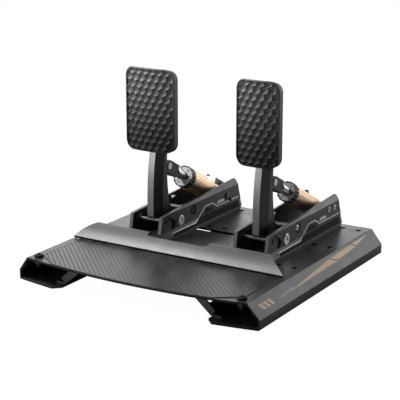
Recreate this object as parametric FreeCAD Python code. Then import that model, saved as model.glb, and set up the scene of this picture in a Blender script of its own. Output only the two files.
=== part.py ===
import FreeCAD, Part
import math
import os

# A brake pedal and a throttle pedal on a low folded steel base, for a seated driver.
# X runs across the base, Y from the driver to the rear, Z up from the floor.
# The origin is on the floor, under the middle of the base. Sizes are in millimetres.

V = FreeCAD.Vector
ACROSS = V(1, 0, 0)
REARWARD = V(0, 1, 0)
UP = V(0, 0, 1)

# Base sheet, folded into a deck, two sloped sides and two rails
DECK_WIDTH = 300.0
DECK_DEPTH = 320.0
DECK_HEIGHT = 30.0
FRONT_BOW = 14.0
BASE_SHEET = 2.5
SLOPE_OUT = 14.4
SLOPE_DROP = 18.0
RAIL_FLANGE = 64.0
FLANGE_CORNER = 10.0
FOLD_RADIUS = 1.5
RIG_HOLE = 6.6
RIG_HOLE_SIDE_INSET = 10.5
RIG_HOLE_INSET = 8.0
SLOT_LENGTH = 60.0
SLOT_WIDTH = 9.5
SLOT_X = -16.0
SLOT_FROM_FRONT = 206.5

# Spare bolt holes beside each pedal
SPARE_HOLE = 6.6
SPARE_COLUMNS = (33.8, 54.9)
SPARE_FRONT_ROW = 131.4
SPARE_ROWS_FROM_BACK = (97.3, 15.5)

# Sloping braces that close the rails on their inner side
BRACE_SHEET = 2.5
BRACE_SIDE_INSET = 75.0
BRACE_TAB = 11.0
BRACE_FOOT_INSET = 1.6
BRACE_START = 8.0
BRACE_LENGTH = 300.0
BRACE_RETURN = 6.5
WINDOW_FIRST = 18.0
WINDOW_PITCH = 48.0
WINDOW_LENGTH = 16.0
WINDOW_TOP = 14.0
WINDOW_DEPTH = 7.5

# Fits
THREAD_PLAY = 0.3
RUNNING_FIT = 0.05
SIDE_PLAY = 0.4
SLIP = 0.3

# Screws and nuts
CORNER_SCREW_SIDE_INSET = 11.0
CORNER_SCREW_INSET = 9.0
M6 = 6.0
M6_HEAD = 11.0
M6_HEAD_HEIGHT = 3.3
M6_LENGTH = 12.0
M6_FLATS = 10.0
M6_NUT_HEIGHT = 5.0
M4 = 4.0
M4_HEAD = 7.4
M4_HEAD_HEIGHT = 2.0
M4_LENGTH = 5.0

# Ribbed plate where the heels rest
HEEL_PLATE_SHEET = 0.8
HEEL_PLATE_MARGIN = 11.0
HEEL_PLATE_BACK = 97.0
HEEL_PLATE_INSET = 0.8
HEEL_PLATE_CUT_X = 31.5
HEEL_PLATE_CUT_Y = 22.7

# Curved sheet that stops the heels, on four ribs
STOP_SHEET = 2.0
STOP_FRONT = 92.0
STOP_DEPTH = 29.5
STOP_LIFT = 2.0
STOP_RISE = 12.2
STOP_CROWN = 2.3
STOP_LEFT_MARGIN = 0.9
STOP_RIGHT_MARGIN = 5.4
STOP_LEFT_CUT = 15.5
STOP_RIGHT_CUT = 31.3
STOP_RIGHT_BEND = 3.0
RELIEF_LEFT = -55.0
RELIEF_RIGHT = 31.0
RELIEF_DEPTH = 10.5
RELIEF_RADIUS = 6.0
RIB_SHEET = 3.0
RIB_FRONT = 98.0
RIB_DEPTH = 12.0
RIB_FOOT_WIDTH = 12.0
RIB_FOOT_HEIGHT = 5.0
RIB_PLACES = (-118.0, -42.0, 18.0, 100.0)

# Electronics tray under the deck
TRAY_LEFT = -23.0
TRAY_BRACE_GAP = 7.0
TRAY_FROM_FRONT = 190.0
TRAY_DEPTH = 72.0
TRAY_HEIGHT = 19.5
TRAY_WALL = 2.0
LUG_SIZE = 9.0
LUG_HEIGHT = 3.5
BOARD_THICKNESS = 1.6
BOARD_GAP = 0.5
BOARD_LIFT = 4.0
POST_WIDTH = 6.0
CHIP_SIZE = 14.0
CHIP_HEIGHT = 1.4
SOCKET_WIDTH = 12.0
SOCKET_HEIGHT = 10.5
SOCKET_DEPTH = 14.0
SOCKET_WALL = 1.2
SOCKET_PITCH = 22.0

# Channel of side plates that carries each pedal
BRAKE_FROM_LEFT = 85.0
THROTTLE_FROM_RIGHT = 66.5
CHANNEL_WIDTH = 47.0
CHEEK_SHEET = 4.5
CHEEK_FRONT = 123.5
CHEEK_TOE_HEIGHT = 12.0
CHEEK_FRONT_LEAN = 4.5
CHEEK_FRONT_HEIGHT = 33.0
CHEEK_TOP_BACK = 309.0
CHEEK_TOP_HEIGHT = 43.0
CHEEK_TOP_RADIUS = 6.0
CHEEK_BACK = 318.0
CHEEK_BACK_HEIGHT = 14.5
CHEEK_WAIST = 5.0
CHEEK_WAIST_HEIGHT = 29.0
CHEEK_HEEL_CUT = 5.0
CHEEK_HEEL_HEIGHT = 3.5
CHEEK_BEVEL_DROP = 9.0
CHEEK_BEVEL_ANGLE = 21.0
CHEEK_FLARE = 2.5
CHEEK_FLARE_BOTTOM = 3.0
CHEEK_WINDOW_FROM_FRONT = 214.0
CHEEK_WINDOW_LENGTH = 18.0
CHEEK_WINDOW_HEIGHT = 4.5
CHEEK_WINDOW_TOP = 35.0
FLOOR_SHEET = 4.0
FLOOR_FRONT = 126.0
FLOOR_BACK = 306.0
FLOOR_BOLT_ROWS = (146.0, 205.0, 264.0)
FLOOR_BOLT_OFFSET = 8.0

# Pivot of each pedal arm
PIVOT_FROM_FRONT = 169.5
PIVOT_HEIGHT = 49.5
PIVOT_SHAFT = 10.0
PIVOT_CAP = 14.0
PIVOT_CAP_HEIGHT = 1.0
CAP_SHANK = 5.0
CAP_SHANK_LENGTH = 9.0
BUSH_WALL = 1.5
BUSH_LENGTH = 8.0
BUSH_FLANGE = 15.0
BUSH_FLANGE_HEIGHT = 1.5
SPACER_WALL = 2.0

# Angle sensor beside each pivot, read from a ring magnet on the arm
MAGNET = 21.0
MAGNET_THICKNESS = 2.5
SENSOR_GAP = 1.5
SENSOR_END = 11.0
SENSOR_TAIL_REACH = 14.0
SENSOR_TAIL_DROP = 2.0
SENSOR_TAIL_END = 7.0

# Front rod that each arm rests on
ROD_FROM_FRONT = 139.8
ROD_HEIGHT = 54.5
ROD = 5.0
ROD_END = 1.4
CLIP = 9.6
CLIP_THICKNESS = 1.0
POCKET_DEPTH = 2.2
POCKET_END = 7.0
POCKET_REACH = 11.0
POCKET_DROP = 5.5
POCKET_TAIL = 6.0

# Tie bar across each channel
TIE_FROM_FRONT = 199.0
TIE_HEIGHT = 55.5
TIE_BAR = 8.0
TIE_SCREW_LENGTH = 8.0
TIE_SCREW_HEAD = 8.0
TIE_RECESS = 12.8

# Pedal arm, a wedge-nosed blade that swells towards its pivot
ARM_WIDTH = 18.0
ARM_NOSE_WIDTH = 9.0
ARM_NOSE_DEPTH = 14.8
ARM_FRONT = 136.8
ARM_FRONT_SWEEP = 6.6
ARM_BACK = 161.0
ARM_BACK_SWEEP = 16.3
ARM_WAIST_AT = 0.72
ARM_STEPS = 6
ARM_UNDER_PAD = 1.5
ARM_BOSS = 22.0
ARM_KNEE = 16.0
ARM_KNEE_FORWARD = 9.5
ARM_KNEE_RISE = 16.5
TANG_WIDTH = 12.0
TANG_DEPTH = 9.0
TANG_ABOVE_BOLTS = 13.0
BUMPER_THICKNESS = 2.5
BUMPER_LENGTH = 8.0
BUMPER_WIDTH = 12.0
BUMPER_INSET = 1.0

# Pads
PAD_BELOW_BOLTS = 26.2
PAD_HEIGHT = 102.7
PAD_TOP_DRAFT = 2.4
PAD_BACK = 146.0
PAD_EDGE_DEPTH = 8.5
PAD_CROWN = 4.5
PAD_CORNER = 12.5
PAD_ROUNDING = 1.5
BRAKE_PAD_WIDTH = 70.0
THROTTLE_PAD_WIDTH = 57.0
PAD_PLATE_SHEET = 3.0
PAD_PLATE_MARGIN = 6.0
PAD_PLATE_CORNER = 5.0
PAD_BOLT_HEIGHT = 168.0
PAD_BOLT_PITCH = 26.0

# Fork and rod that link the arm to its cylinder, measured along the link from the fork's pin
LINK_FROM_FRONT = 170.0
LINK_HEIGHT = 117.0
LINK_PIN = 6.0
LINK_PLAY = 0.9
LUG_THICKNESS = 6.0
LUG_WIDTH = 15.0
FORK_EAR = 3.5
FORK_WIDTH = 15.0
FORK_ROOT = 14.0
FORK_LENGTH = 24.0
FORK_ROUNDING = 2.0
PIN_HEAD = 8.4
PIN_HEAD_HEIGHT = 1.0
PUSH_ROD = 11.0
PUSH_ROD_START = 15.0
LOCK_NUT_FLATS = 14.0
LOCK_NUT_HEIGHT = 4.0

# Cylinders, measured along the link from the fork's pin
FACE_AT = 48.5
FACE_HEIGHT = 2.5
FACE_STEP = 0.4
FACE_STUB = 4.0
FACE_HOLE = 2.0
FACE_HOLE_DEPTH = 1.5
FACE_HOLES = 6
RING_LEAD = 0.5
RING_LENGTH = 9.0
RING_WALL = 1.4
RING_NOTCHES = 16
RING_NOTCH = 3.2
RING_NOTCH_DEPTH = 0.8
TUBE_WALL = 2.0
PISTON_AT = 62.0
PISTON_LENGTH = 8.0
CAP_STUB = 6.0
CAP_ROUNDING = 2.0
CAP_FLAT = 1.5
CAP_FLAT_LENGTH = 18.0
SPRING_WALL = 3.0
PAD_DISCS = 3
DISC_BORE = 9.0
BRAKE_TUBE = 28.0
BRAKE_RING_SEAT = 1.2
BRAKE_SEAM_AHEAD = 16.1
BRAKE_TAIL_BEHIND = 9.9
BRAKE_REAR_FROM_FRONT = 283.0
BRAKE_REAR_HEIGHT = 54.5
BRAKE_REAR_PIN = 8.0
THROTTLE_TUBE = 24.0
THROTTLE_RING_SEAT = 0.4
THROTTLE_SEAM_AHEAD = 9.3
THROTTLE_TAIL_BEHIND = 18.7
THROTTLE_REAR_FROM_FRONT = 283.0
THROTTLE_REAR_HEIGHT = 58.3
THROTTLE_REAR_PIN = 6.4

# Rear pivots and the rivets behind them
DOME_HEAD = 9.4
DOME_HEIGHT = 1.6
SMALL_DOME = 6.0
SMALL_DOME_SHANK = 3.0
TUBE_END = 0.8
TUBE_BORE = 3.4
BRAKE_RIVET_BEHIND = 8.0
BRAKE_RIVET_DROP = 6.0
THROTTLE_RIVET_BEHIND = 15.0
THROTTLE_RIVET_DROP = 0.6

# Load cell on top of the brake's end cap
CELL_FROM_SEAM = 1.0
CELL_LENGTH = 36.0
CELL_WIDTH = 17.0
CELL_SEAT = 9.0
CELL_HEIGHT = 10.0
CELL_HOLE = 5.0
CELL_HOLE_PITCH = 7.0

# Places that follow from the sizes above
FRONT = -(DECK_DEPTH - FRONT_BOW) / 2
BACK = FRONT + DECK_DEPTH
BOW_RADIUS = ((DECK_WIDTH / 2) ** 2 + FRONT_BOW ** 2) / (2 * FRONT_BOW)
BOW_CENTRE = FRONT - FRONT_BOW + BOW_RADIUS
SIDE = DECK_WIDTH / 2 + SLOPE_OUT
FLANGE_EDGE = SIDE - RAIL_FLANGE
UNDER_DECK = DECK_HEIGHT - BASE_SHEET
CORNER_X = DECK_WIDTH / 2 - CORNER_SCREW_SIDE_INSET
FLOOR_TOP = DECK_HEIGHT + FLOOR_SHEET
OUTER = CHANNEL_WIDTH / 2
INNER = OUTER - CHEEK_SHEET
PIVOT = V(0, FRONT + PIVOT_FROM_FRONT, PIVOT_HEIGHT)
STOP_ROD = V(0, FRONT + ROD_FROM_FRONT, ROD_HEIGHT)
TIE = V(0, FRONT + TIE_FROM_FRONT, TIE_HEIGHT)
LINK = V(0, FRONT + LINK_FROM_FRONT, LINK_HEIGHT)
ARM_BOTTOM = ROD_HEIGHT + ROD / 2 + SLIP + BUMPER_THICKNESS
BUSH_OUTSIDE = PIVOT_SHAFT + 2 * RUNNING_FIT + 2 * BUSH_WALL
SPACER_INNER_X = ARM_WIDTH / 2 + BUSH_FLANGE_HEIGHT + SIDE_PLAY
PAD_BOTTOM = PAD_BOLT_HEIGHT - PAD_BELOW_BOLTS
ARM_TOP = PAD_BOTTOM - ARM_UNDER_PAD
TANG_TOP = PAD_BOLT_HEIGHT + PAD_BOLT_PITCH + TANG_ABOVE_BOLTS
TUBE_FRONT = FACE_AT + FACE_HEIGHT
RING_AT = FACE_AT - RING_LEAD
NECK_LENGTH = RING_AT + RING_LENGTH + SLIP - TUBE_FRONT
RIB_MIDDLE = RIB_FRONT + RIB_DEPTH / 2
BRACE_X = DECK_WIDTH / 2 - BRACE_SIDE_INSET
TRAY_RIGHT = BRACE_X - BRACE_TAB - TRAY_BRACE_GAP
TRAY_WIDTH = TRAY_RIGHT - TRAY_LEFT
TRAY_X = (TRAY_LEFT + TRAY_RIGHT) / 2
TRAY_FRONT = FRONT + TRAY_FROM_FRONT
TRAY_BACK = TRAY_FRONT + TRAY_DEPTH
TRAY_FLOOR = UNDER_DECK - TRAY_HEIGHT
BOARD_BOTTOM = TRAY_FLOOR + TRAY_WALL + BOARD_LIFT
BOARD_TOP = BOARD_BOTTOM + BOARD_THICKNESS
TRAY_LUGS = [(TRAY_X + side * (TRAY_WIDTH - 2 * LUG_SIZE) / 2, y)
             for side in (-1, 1) for y in (TRAY_FRONT - LUG_SIZE / 2, TRAY_BACK + LUG_SIZE / 2)]
SIDES = (-1, 1)


class Station:
    """One pedal with its channel and cylinder: where it stands and what differs from the other."""

    def __init__(self, name, x, pad, tube, ring_seat, seam_ahead, tail_behind, rear, rear_pin):
        self.name = name
        self.x = x
        self.pad = pad
        self.tube = tube
        self.neck = tube - 2 * ring_seat
        self.bore = tube - 2 * TUBE_WALL
        self.rear = rear
        self.rear_pin = rear_pin
        self.reach = (rear - LINK).Length
        self.seam = self.reach - seam_ahead
        self.tail = self.reach + tail_behind
        self.slope = math.degrees(math.atan2(LINK.z - rear.z, rear.y - LINK.y))


BRAKE = Station("brake", BRAKE_FROM_LEFT - DECK_WIDTH / 2, BRAKE_PAD_WIDTH, BRAKE_TUBE, BRAKE_RING_SEAT,
                BRAKE_SEAM_AHEAD, BRAKE_TAIL_BEHIND,
                V(0, FRONT + BRAKE_REAR_FROM_FRONT, BRAKE_REAR_HEIGHT), BRAKE_REAR_PIN)
THROTTLE = Station("throttle", DECK_WIDTH / 2 - THROTTLE_FROM_RIGHT, THROTTLE_PAD_WIDTH, THROTTLE_TUBE, THROTTLE_RING_SEAT,
                   THROTTLE_SEAM_AHEAD, THROTTLE_TAIL_BEHIND,
                   V(0, FRONT + THROTTLE_REAR_FROM_FRONT, THROTTLE_REAR_HEIGHT), THROTTLE_REAR_PIN)
STATIONS = (BRAKE, THROTTLE)


# Shapes


def prism(corners, run):
    """Solid with a flat outline of corners, extruded along run."""
    return Part.Face(Part.makePolygon(corners + corners[:1])).extrude(run)


def prism_x(points, x0, x1):
    """Solid with an outline of (y, z) points, from x0 to x1."""
    return prism([V(x0, y, z) for y, z in points], V(x1 - x0, 0, 0))


def prism_y(points, y0, y1):
    """Solid with an outline of (x, z) points, from y0 to y1."""
    return prism([V(x, y0, z) for x, z in points], V(0, y1 - y0, 0))


def prism_z(points, z0, z1):
    """Solid with an outline of (x, y) points, from z0 to z1."""
    return prism([V(x, y, z0) for x, y in points], V(0, 0, z1 - z0))


def box(x0, x1, y0, y1, z0, z1):
    return Part.makeBox(x1 - x0, y1 - y0, z1 - z0, V(x0, y0, z0))


def rod(start, direction, length, diameter):
    return Part.makeCylinder(diameter / 2, length, start, direction)


def sleeve(start, direction, length, outside, inside):
    return rod(start, direction, length, outside).cut(rod(start, direction, length, inside))


def across(place, x0, x1, diameter):
    """Round bar along X, level with a place."""
    return rod(V(x0, place.y, place.z), ACROSS, x1 - x0, diameter)


def across_sleeve(place, x0, x1, outside, inside):
    return across(place, x0, x1, outside).cut(across(place, x0, x1, inside))


def strap(p, p_width, q, q_width, x0, x1):
    """Plate along X whose outline wraps a circle at p and another at q."""
    run = math.hypot(q.y - p.y, q.z - p.z)
    heading = math.atan2(q.z - p.z, q.y - p.y)
    spread = math.acos((p_width - q_width) / 2 / run)
    points = []
    for turn, place, width in ((spread, p, p_width), (spread, q, q_width),
                               (-spread, q, q_width), (-spread, p, p_width)):
        y = place.y + width / 2 * math.cos(heading + turn)
        z = place.z + width / 2 * math.sin(heading + turn)
        points.append((y, z))
    return prism_x(points, x0, x1).fuse([across(p, x0, x1, p_width), across(q, x0, x1, q_width)])


def folded(points, thickness):
    """Outline of a sheet whose outer face follows the points, with the metal on their right."""
    normals = []
    for (a, b), (c, d) in zip(points, points[1:]):
        run = math.hypot(c - a, d - b)
        normals.append(((d - b) / run, (a - c) / run))
    inner = []
    for i, (a, b) in enumerate(points):
        n = normals[max(i - 1, 0)]
        m = normals[min(i, len(normals) - 1)]
        share = thickness / (1 + n[0] * m[0] + n[1] * m[1])
        inner.append((a + (n[0] + m[0]) * share, b + (n[1] + m[1]) * share))
    return points + inner[::-1]


def edges_along(shape, direction, places):
    """Straight edges that run along a direction through any of the places."""
    found = []
    for edge in shape.Edges:
        if isinstance(edge.Curve, Part.Line):
            start = edge.Vertexes[0].Point
            run = edge.Vertexes[-1].Point - start
            if run.cross(direction).Length < 0.001 * run.Length:
                if any((place - start).cross(direction).Length < 0.01 for place in places):
                    found.append(edge)
    return found


def hexagon(centre, direction, flats, height):
    """Six-sided bar that starts at centre and runs along direction."""
    side = REARWARD if abs(direction.x) > 0.5 else ACROSS
    other = direction.cross(side)
    reach = flats / math.sqrt(3)
    corners = []
    for i in range(6):
        turn = math.radians(60 * i)
        corners.append(centre + side * (reach * math.cos(turn)) + other * (reach * math.sin(turn)))
    return prism(corners, direction * height)


def screw(seat, direction, diameter, length, head, head_height):
    """Round-headed socket screw: the head sits on seat and the shank runs along direction."""
    top = seat - direction * head_height
    cap = rod(top, direction, head_height, head)
    rims = [edge for edge in cap.Edges if (edge.CenterOfMass - top).Length < 0.01]
    cap = cap.makeFillet(head_height * 0.6, rims)
    socket = hexagon(top, direction, head * 0.36, head_height * 0.6)
    return cap.fuse(rod(seat, direction, length, diameter)).cut(socket)


def nut(start, direction, flats, height, bore):
    return hexagon(start, direction, flats, height).cut(rod(start, direction, height, bore))


def save(name, solids):
    shape = solids[0] if len(solids) == 1 else Part.makeCompound(solids)
    shape.exportStep("parts/" + name + ".step")
    print(name, "solids", len(shape.Solids), "valid", shape.isValid(), "volume", round(shape.Volume))


# Base


def bowed_plan(inset, half_width, back):
    """Face on the floor whose front edge follows the bow of the deck, set back by inset."""
    radius = BOW_RADIUS - inset
    end = BOW_CENTRE - math.sqrt(radius ** 2 - half_width ** 2)
    arc = Part.Arc(V(-half_width, end, 0), V(0, BOW_CENTRE - radius, 0), V(half_width, end, 0))
    sides = [V(half_width, end, 0), V(half_width, back, 0), V(-half_width, back, 0), V(-half_width, end, 0)]
    return Part.Face(Part.Wire([arc.toShape()] + Part.makePolygon(sides).Edges))


def bow_at(x):
    """Place of the deck's front edge at x."""
    return BOW_CENTRE - math.sqrt(BOW_RADIUS ** 2 - x ** 2)


def deck_hole(x, y, diameter):
    return rod(V(x, y, UNDER_DECK - 1), UP, BASE_SHEET + 2, diameter)


def rig_holes():
    """Holes in the rails' flanges, for bolting the base down."""
    holes = []
    for side in SIDES:
        for y in (FRONT + RIG_HOLE_INSET, BACK - RIG_HOLE_INSET):
            x = side * (DECK_WIDTH / 2 - RIG_HOLE_SIDE_INSET)
            holes.append(rod(V(x, y, -1), UP, BASE_SHEET + 2, RIG_HOLE))
    return holes


def station_holes(station):
    """Spare holes beside a channel, and the holes of the channel's own bolts."""
    holes = []
    rows = [FRONT + SPARE_FRONT_ROW] + [BACK - row for row in SPARE_ROWS_FROM_BACK]
    for side in SIDES:
        for column in SPARE_COLUMNS:
            for y in rows:
                holes.append(deck_hole(station.x + side * column, y, SPARE_HOLE))
    for row in FLOOR_BOLT_ROWS:
        holes.append(deck_hole(station.x + FLOOR_BOLT_OFFSET, FRONT + row, M6 + 2 * THREAD_PLAY))
    return holes


def cable_slot():
    """Slot with round ends, for leads from the deck down to the electronics."""
    y = FRONT + SLOT_FROM_FRONT
    reach = (SLOT_LENGTH - SLOT_WIDTH) / 2
    half = SLOT_WIDTH / 2
    middle = box(SLOT_X - reach, SLOT_X + reach, y - half, y + half, UNDER_DECK - 1, DECK_HEIGHT + 1)
    return [middle, deck_hole(SLOT_X - reach, y, SLOT_WIDTH), deck_hole(SLOT_X + reach, y, SLOT_WIDTH)]


def flange_corner(side):
    """Chamfer on the inner front corner of a rail's flange."""
    start = bow_at(FLANGE_EDGE)
    corner = [(FLANGE_EDGE - 1, start - 1), (FLANGE_EDGE + FLANGE_CORNER + 1, start - 1),
              (FLANGE_EDGE - 1, start + FLANGE_CORNER + 1)]
    return prism_z([(side * x, y) for x, y in corner], -1, BASE_SHEET + 1)


def base_deck():
    half = DECK_WIDTH / 2
    right = [(half, DECK_HEIGHT), (SIDE, DECK_HEIGHT - SLOPE_DROP), (SIDE, 0), (FLANGE_EDGE, 0)]
    left = [(-x, z) for x, z in right[::-1]]
    sheet = prism_y(folded(left + right, BASE_SHEET), FRONT - FRONT_BOW, BACK)
    folds = [V(side * x, 0, z) for side in SIDES for x, z in right[:3]]
    sheet = sheet.makeFillet(FOLD_RADIUS, edges_along(sheet, REARWARD, folds))
    sheet = sheet.common(bowed_plan(0, SIDE + 1, BACK).extrude(UP * DECK_HEIGHT))
    cuts = rig_holes() + cable_slot() + station_holes(BRAKE) + station_holes(THROTTLE)
    for side in SIDES:
        cuts.append(flange_corner(side))
        x = side * CORNER_X
        cuts.append(deck_hole(x, FRONT + CORNER_SCREW_INSET, M6 + 2 * THREAD_PLAY))
    for x in RIB_PLACES:
        cuts.append(deck_hole(x, FRONT + RIB_MIDDLE, M4 + 2 * THREAD_PLAY))
    depth = M4_LENGTH + THREAD_PLAY - LUG_HEIGHT
    for x, y in TRAY_LUGS:
        cuts.append(rod(V(x, y, UNDER_DECK), UP, depth, M4 + 2 * THREAD_PLAY))
    return sheet.cut(cuts)


def rail_brace():
    """Folded strip of the right rail, from the underside of the deck down to the flange."""
    foot_x = FLANGE_EDGE + BRACE_FOOT_INSET
    foot_z = BASE_SHEET + BRACE_SHEET
    start = FRONT + BRACE_START
    outline = [(BRACE_X - BRACE_TAB, UNDER_DECK), (BRACE_X, UNDER_DECK),
               (foot_x, foot_z), (foot_x + BRACE_TAB, foot_z)]
    strip = prism_y(folded(outline, BRACE_SHEET), start, start + BRACE_LENGTH)
    top = V(BRACE_X, start, UNDER_DECK)
    foot = V(foot_x, start, foot_z)
    down = (foot - top).normalize()
    outward = V(-down.z, 0, down.x)
    edge = foot + outward * BRACE_RETURN
    front = [top, top + ACROSS * (BRACE_RETURN / outward.x), edge, foot]
    strip = strip.fuse(prism(front, REARWARD * BRACE_SHEET))
    windows = []
    for i in range(int((BRACE_LENGTH - WINDOW_FIRST) / WINDOW_PITCH)):
        high = top + REARWARD * (WINDOW_FIRST - BRACE_START + i * WINDOW_PITCH) + down * WINDOW_TOP
        low = high + down * WINDOW_DEPTH
        corners = [high, low, low + REARWARD * WINDOW_LENGTH]
        cutter = prism(corners, outward * (-2 * BRACE_SHEET))
        cutter.translate(outward * (BRACE_SHEET / 2))
        windows.append(cutter)
    return strip.cut(windows)


def heel_plate():
    half = DECK_WIDTH / 2 - HEEL_PLATE_MARGIN
    sheet = bowed_plan(HEEL_PLATE_INSET, half, FRONT + HEEL_PLATE_BACK).extrude(UP * HEEL_PLATE_SHEET)
    sheet.translate(UP * DECK_HEIGHT)
    start = bow_at(half - HEEL_PLATE_CUT_X) + HEEL_PLATE_INSET
    for side in SIDES:
        corner = [(half - HEEL_PLATE_CUT_X, start), (half, start + HEEL_PLATE_CUT_Y),
                  (half + 1, start + HEEL_PLATE_CUT_Y), (half + 1, FRONT - FRONT_BOW),
                  (half - HEEL_PLATE_CUT_X, FRONT - FRONT_BOW)]
        points = [(side * x, y) for x, y in corner]
        sheet = sheet.cut(prism_z(points, DECK_HEIGHT - 1, DECK_HEIGHT + HEEL_PLATE_SHEET + 1))
    return sheet


def stop_curve():
    """Front edge, crown, rear edge, centre and radius of the heel stop's outer face."""
    start = V(0, FRONT + STOP_FRONT, DECK_HEIGHT + HEEL_PLATE_SHEET + STOP_LIFT)
    end = start + V(0, STOP_DEPTH, STOP_RISE)
    chord = end - start
    normal = V(0, -chord.z, chord.y).normalize()
    radius = ((chord.Length / 2) ** 2 + STOP_CROWN ** 2) / (2 * STOP_CROWN)
    crown = (start + end) * 0.5 + normal * STOP_CROWN
    return start, crown, end, crown - normal * radius, radius


def heel_stop():
    start, crown, end, centre, radius = stop_curve()
    outer = [start, crown, end]
    inner = [centre + (p - centre) * ((radius - STOP_SHEET) / radius) for p in outer]
    rim = Part.Wire([
        Part.Arc(*outer).toShape(),
        Part.makeLine(outer[2], inner[2]),
        Part.Arc(*inner[::-1]).toShape(),
        Part.makeLine(inner[0], outer[0])])
    sheet = Part.Face(rim).extrude(ACROSS * DECK_WIDTH)
    sheet.translate(ACROSS * (-DECK_WIDTH / 2))
    left = STOP_LEFT_MARGIN - DECK_WIDTH / 2
    right = DECK_WIDTH / 2 - STOP_RIGHT_MARGIN
    top_left = left + STOP_LEFT_CUT
    top_right = right - STOP_RIGHT_CUT
    bend = (right + top_right) / 2 - STOP_RIGHT_BEND
    y0 = start.y
    y1 = end.y
    plan = [(left, y0 - 1), (right, y0 - 1), (right, y0), (bend, (y0 + y1) / 2), (top_right, y1),
            (top_right, y1 + 1), (top_left, y1 + 1), (top_left, y1), (left, y0)]
    sheet = sheet.common(prism_z(plan, 0, end.z + STOP_RISE))
    relief = box(RELIEF_LEFT, RELIEF_RIGHT, y1 - RELIEF_DEPTH, y1 + RELIEF_DEPTH, 0, end.z + STOP_RISE)
    corners = [V(x, y1 - RELIEF_DEPTH, 0) for x in (RELIEF_LEFT, RELIEF_RIGHT)]
    return sheet.cut(relief.makeFillet(RELIEF_RADIUS, edges_along(relief, UP, corners)))


def heel_stop_rib(x):
    """Rib under the heel stop, with its top on the sheet and a foot on the deck."""
    start, crown, end, centre, radius = stop_curve()
    y0 = FRONT + RIB_FRONT
    y1 = y0 + RIB_DEPTH
    blade = box(x - RIB_SHEET / 2, x + RIB_SHEET / 2, y0, y1, DECK_HEIGHT, end.z)
    foot = box(x - RIB_FOOT_WIDTH / 2, x + RIB_FOOT_WIDTH / 2, y0, y1,
               DECK_HEIGHT, DECK_HEIGHT + RIB_FOOT_HEIGHT)
    under = across(centre, x - RIB_FOOT_WIDTH, x + RIB_FOOT_WIDTH, 2 * (radius - STOP_SHEET))
    hole = rod(V(x, FRONT + RIB_MIDDLE, DECK_HEIGHT), UP, M4_LENGTH - BASE_SHEET + THREAD_PLAY, M4)
    return blade.fuse(foot).common(under).cut(hole)


def deck_screws():
    """Small screws from below: one in each rib and one in each lug of the tray."""
    screws = []
    for x in RIB_PLACES:
        seat = V(x, FRONT + RIB_MIDDLE, UNDER_DECK)
        screws.append(screw(seat, UP, M4, M4_LENGTH, M4_HEAD, M4_HEAD_HEIGHT))
    for x, y in TRAY_LUGS:
        seat = V(x, y, UNDER_DECK - LUG_HEIGHT)
        screws.append(screw(seat, UP, M4, M4_LENGTH, M4_HEAD, M4_HEAD_HEIGHT))
    return screws


def corner_places():
    return [V(side * CORNER_X, FRONT + CORNER_SCREW_INSET, DECK_HEIGHT) for side in SIDES]


def bracket_bolt_places():
    return [V(station.x + FLOOR_BOLT_OFFSET, FRONT + row, FLOOR_TOP)
            for station in STATIONS for row in FLOOR_BOLT_ROWS]


def m6_screw(seat, direction):
    return screw(seat, direction, M6, M6_LENGTH, M6_HEAD, M6_HEAD_HEIGHT)


def deck_nuts():
    """Nuts under the deck, on the corner screws and on the bolts of the channels."""
    nuts = []
    for place in corner_places() + bracket_bolt_places():
        start = V(place.x, place.y, UNDER_DECK)
        nuts.append(nut(start, UP * -1, M6_FLATS, M6_NUT_HEIGHT, M6))
    return nuts


# Electronics


def socket_places():
    """Left edge of each socket in the rear wall of the tray."""
    return [TRAY_X + step * SOCKET_PITCH - SOCKET_WIDTH / 2 for step in (-1, 0, 1)]


def controller_case():
    outside = box(TRAY_LEFT, TRAY_RIGHT, TRAY_FRONT, TRAY_BACK, TRAY_FLOOR, UNDER_DECK)
    inside = box(TRAY_LEFT + TRAY_WALL, TRAY_RIGHT - TRAY_WALL, TRAY_FRONT + TRAY_WALL,
                 TRAY_BACK - TRAY_WALL, TRAY_FLOOR + TRAY_WALL, UNDER_DECK + 1)
    tray = outside.cut(inside)
    half = LUG_SIZE / 2
    lugs = [box(x - half, x + half, y - half, y + half, UNDER_DECK - LUG_HEIGHT, UNDER_DECK)
            for x, y in TRAY_LUGS]
    holes = [rod(V(x, y, TRAY_FLOOR), UP, TRAY_HEIGHT, M4 + 2 * THREAD_PLAY) for x, y in TRAY_LUGS]
    inset = TRAY_WALL + BOARD_GAP + POST_WIDTH
    posts = []
    for x in (TRAY_LEFT + inset, TRAY_RIGHT - inset):
        for y in (TRAY_FRONT + inset, TRAY_BACK - inset):
            posts.append(rod(V(x, y, TRAY_FLOOR), UP, TRAY_WALL + BOARD_LIFT, POST_WIDTH))
    openings = [box(x - SLIP, x + SOCKET_WIDTH + SLIP, TRAY_BACK - 2 * TRAY_WALL, TRAY_BACK + 1,
                    BOARD_TOP - SLIP, BOARD_TOP + SOCKET_HEIGHT + SLIP) for x in socket_places()]
    return tray.fuse(lugs + posts).cut(holes + openings)


def controller_board():
    inset = TRAY_WALL + BOARD_GAP
    board = box(TRAY_LEFT + inset, TRAY_RIGHT - inset, TRAY_FRONT + inset, TRAY_BACK - inset,
                BOARD_BOTTOM, BOARD_TOP)
    half = CHIP_SIZE / 2
    y = TRAY_FRONT + TRAY_DEPTH / 3
    return board.fuse(box(TRAY_X - half, TRAY_X + half, y - half, y + half, BOARD_TOP, BOARD_TOP + CHIP_HEIGHT))


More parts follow.
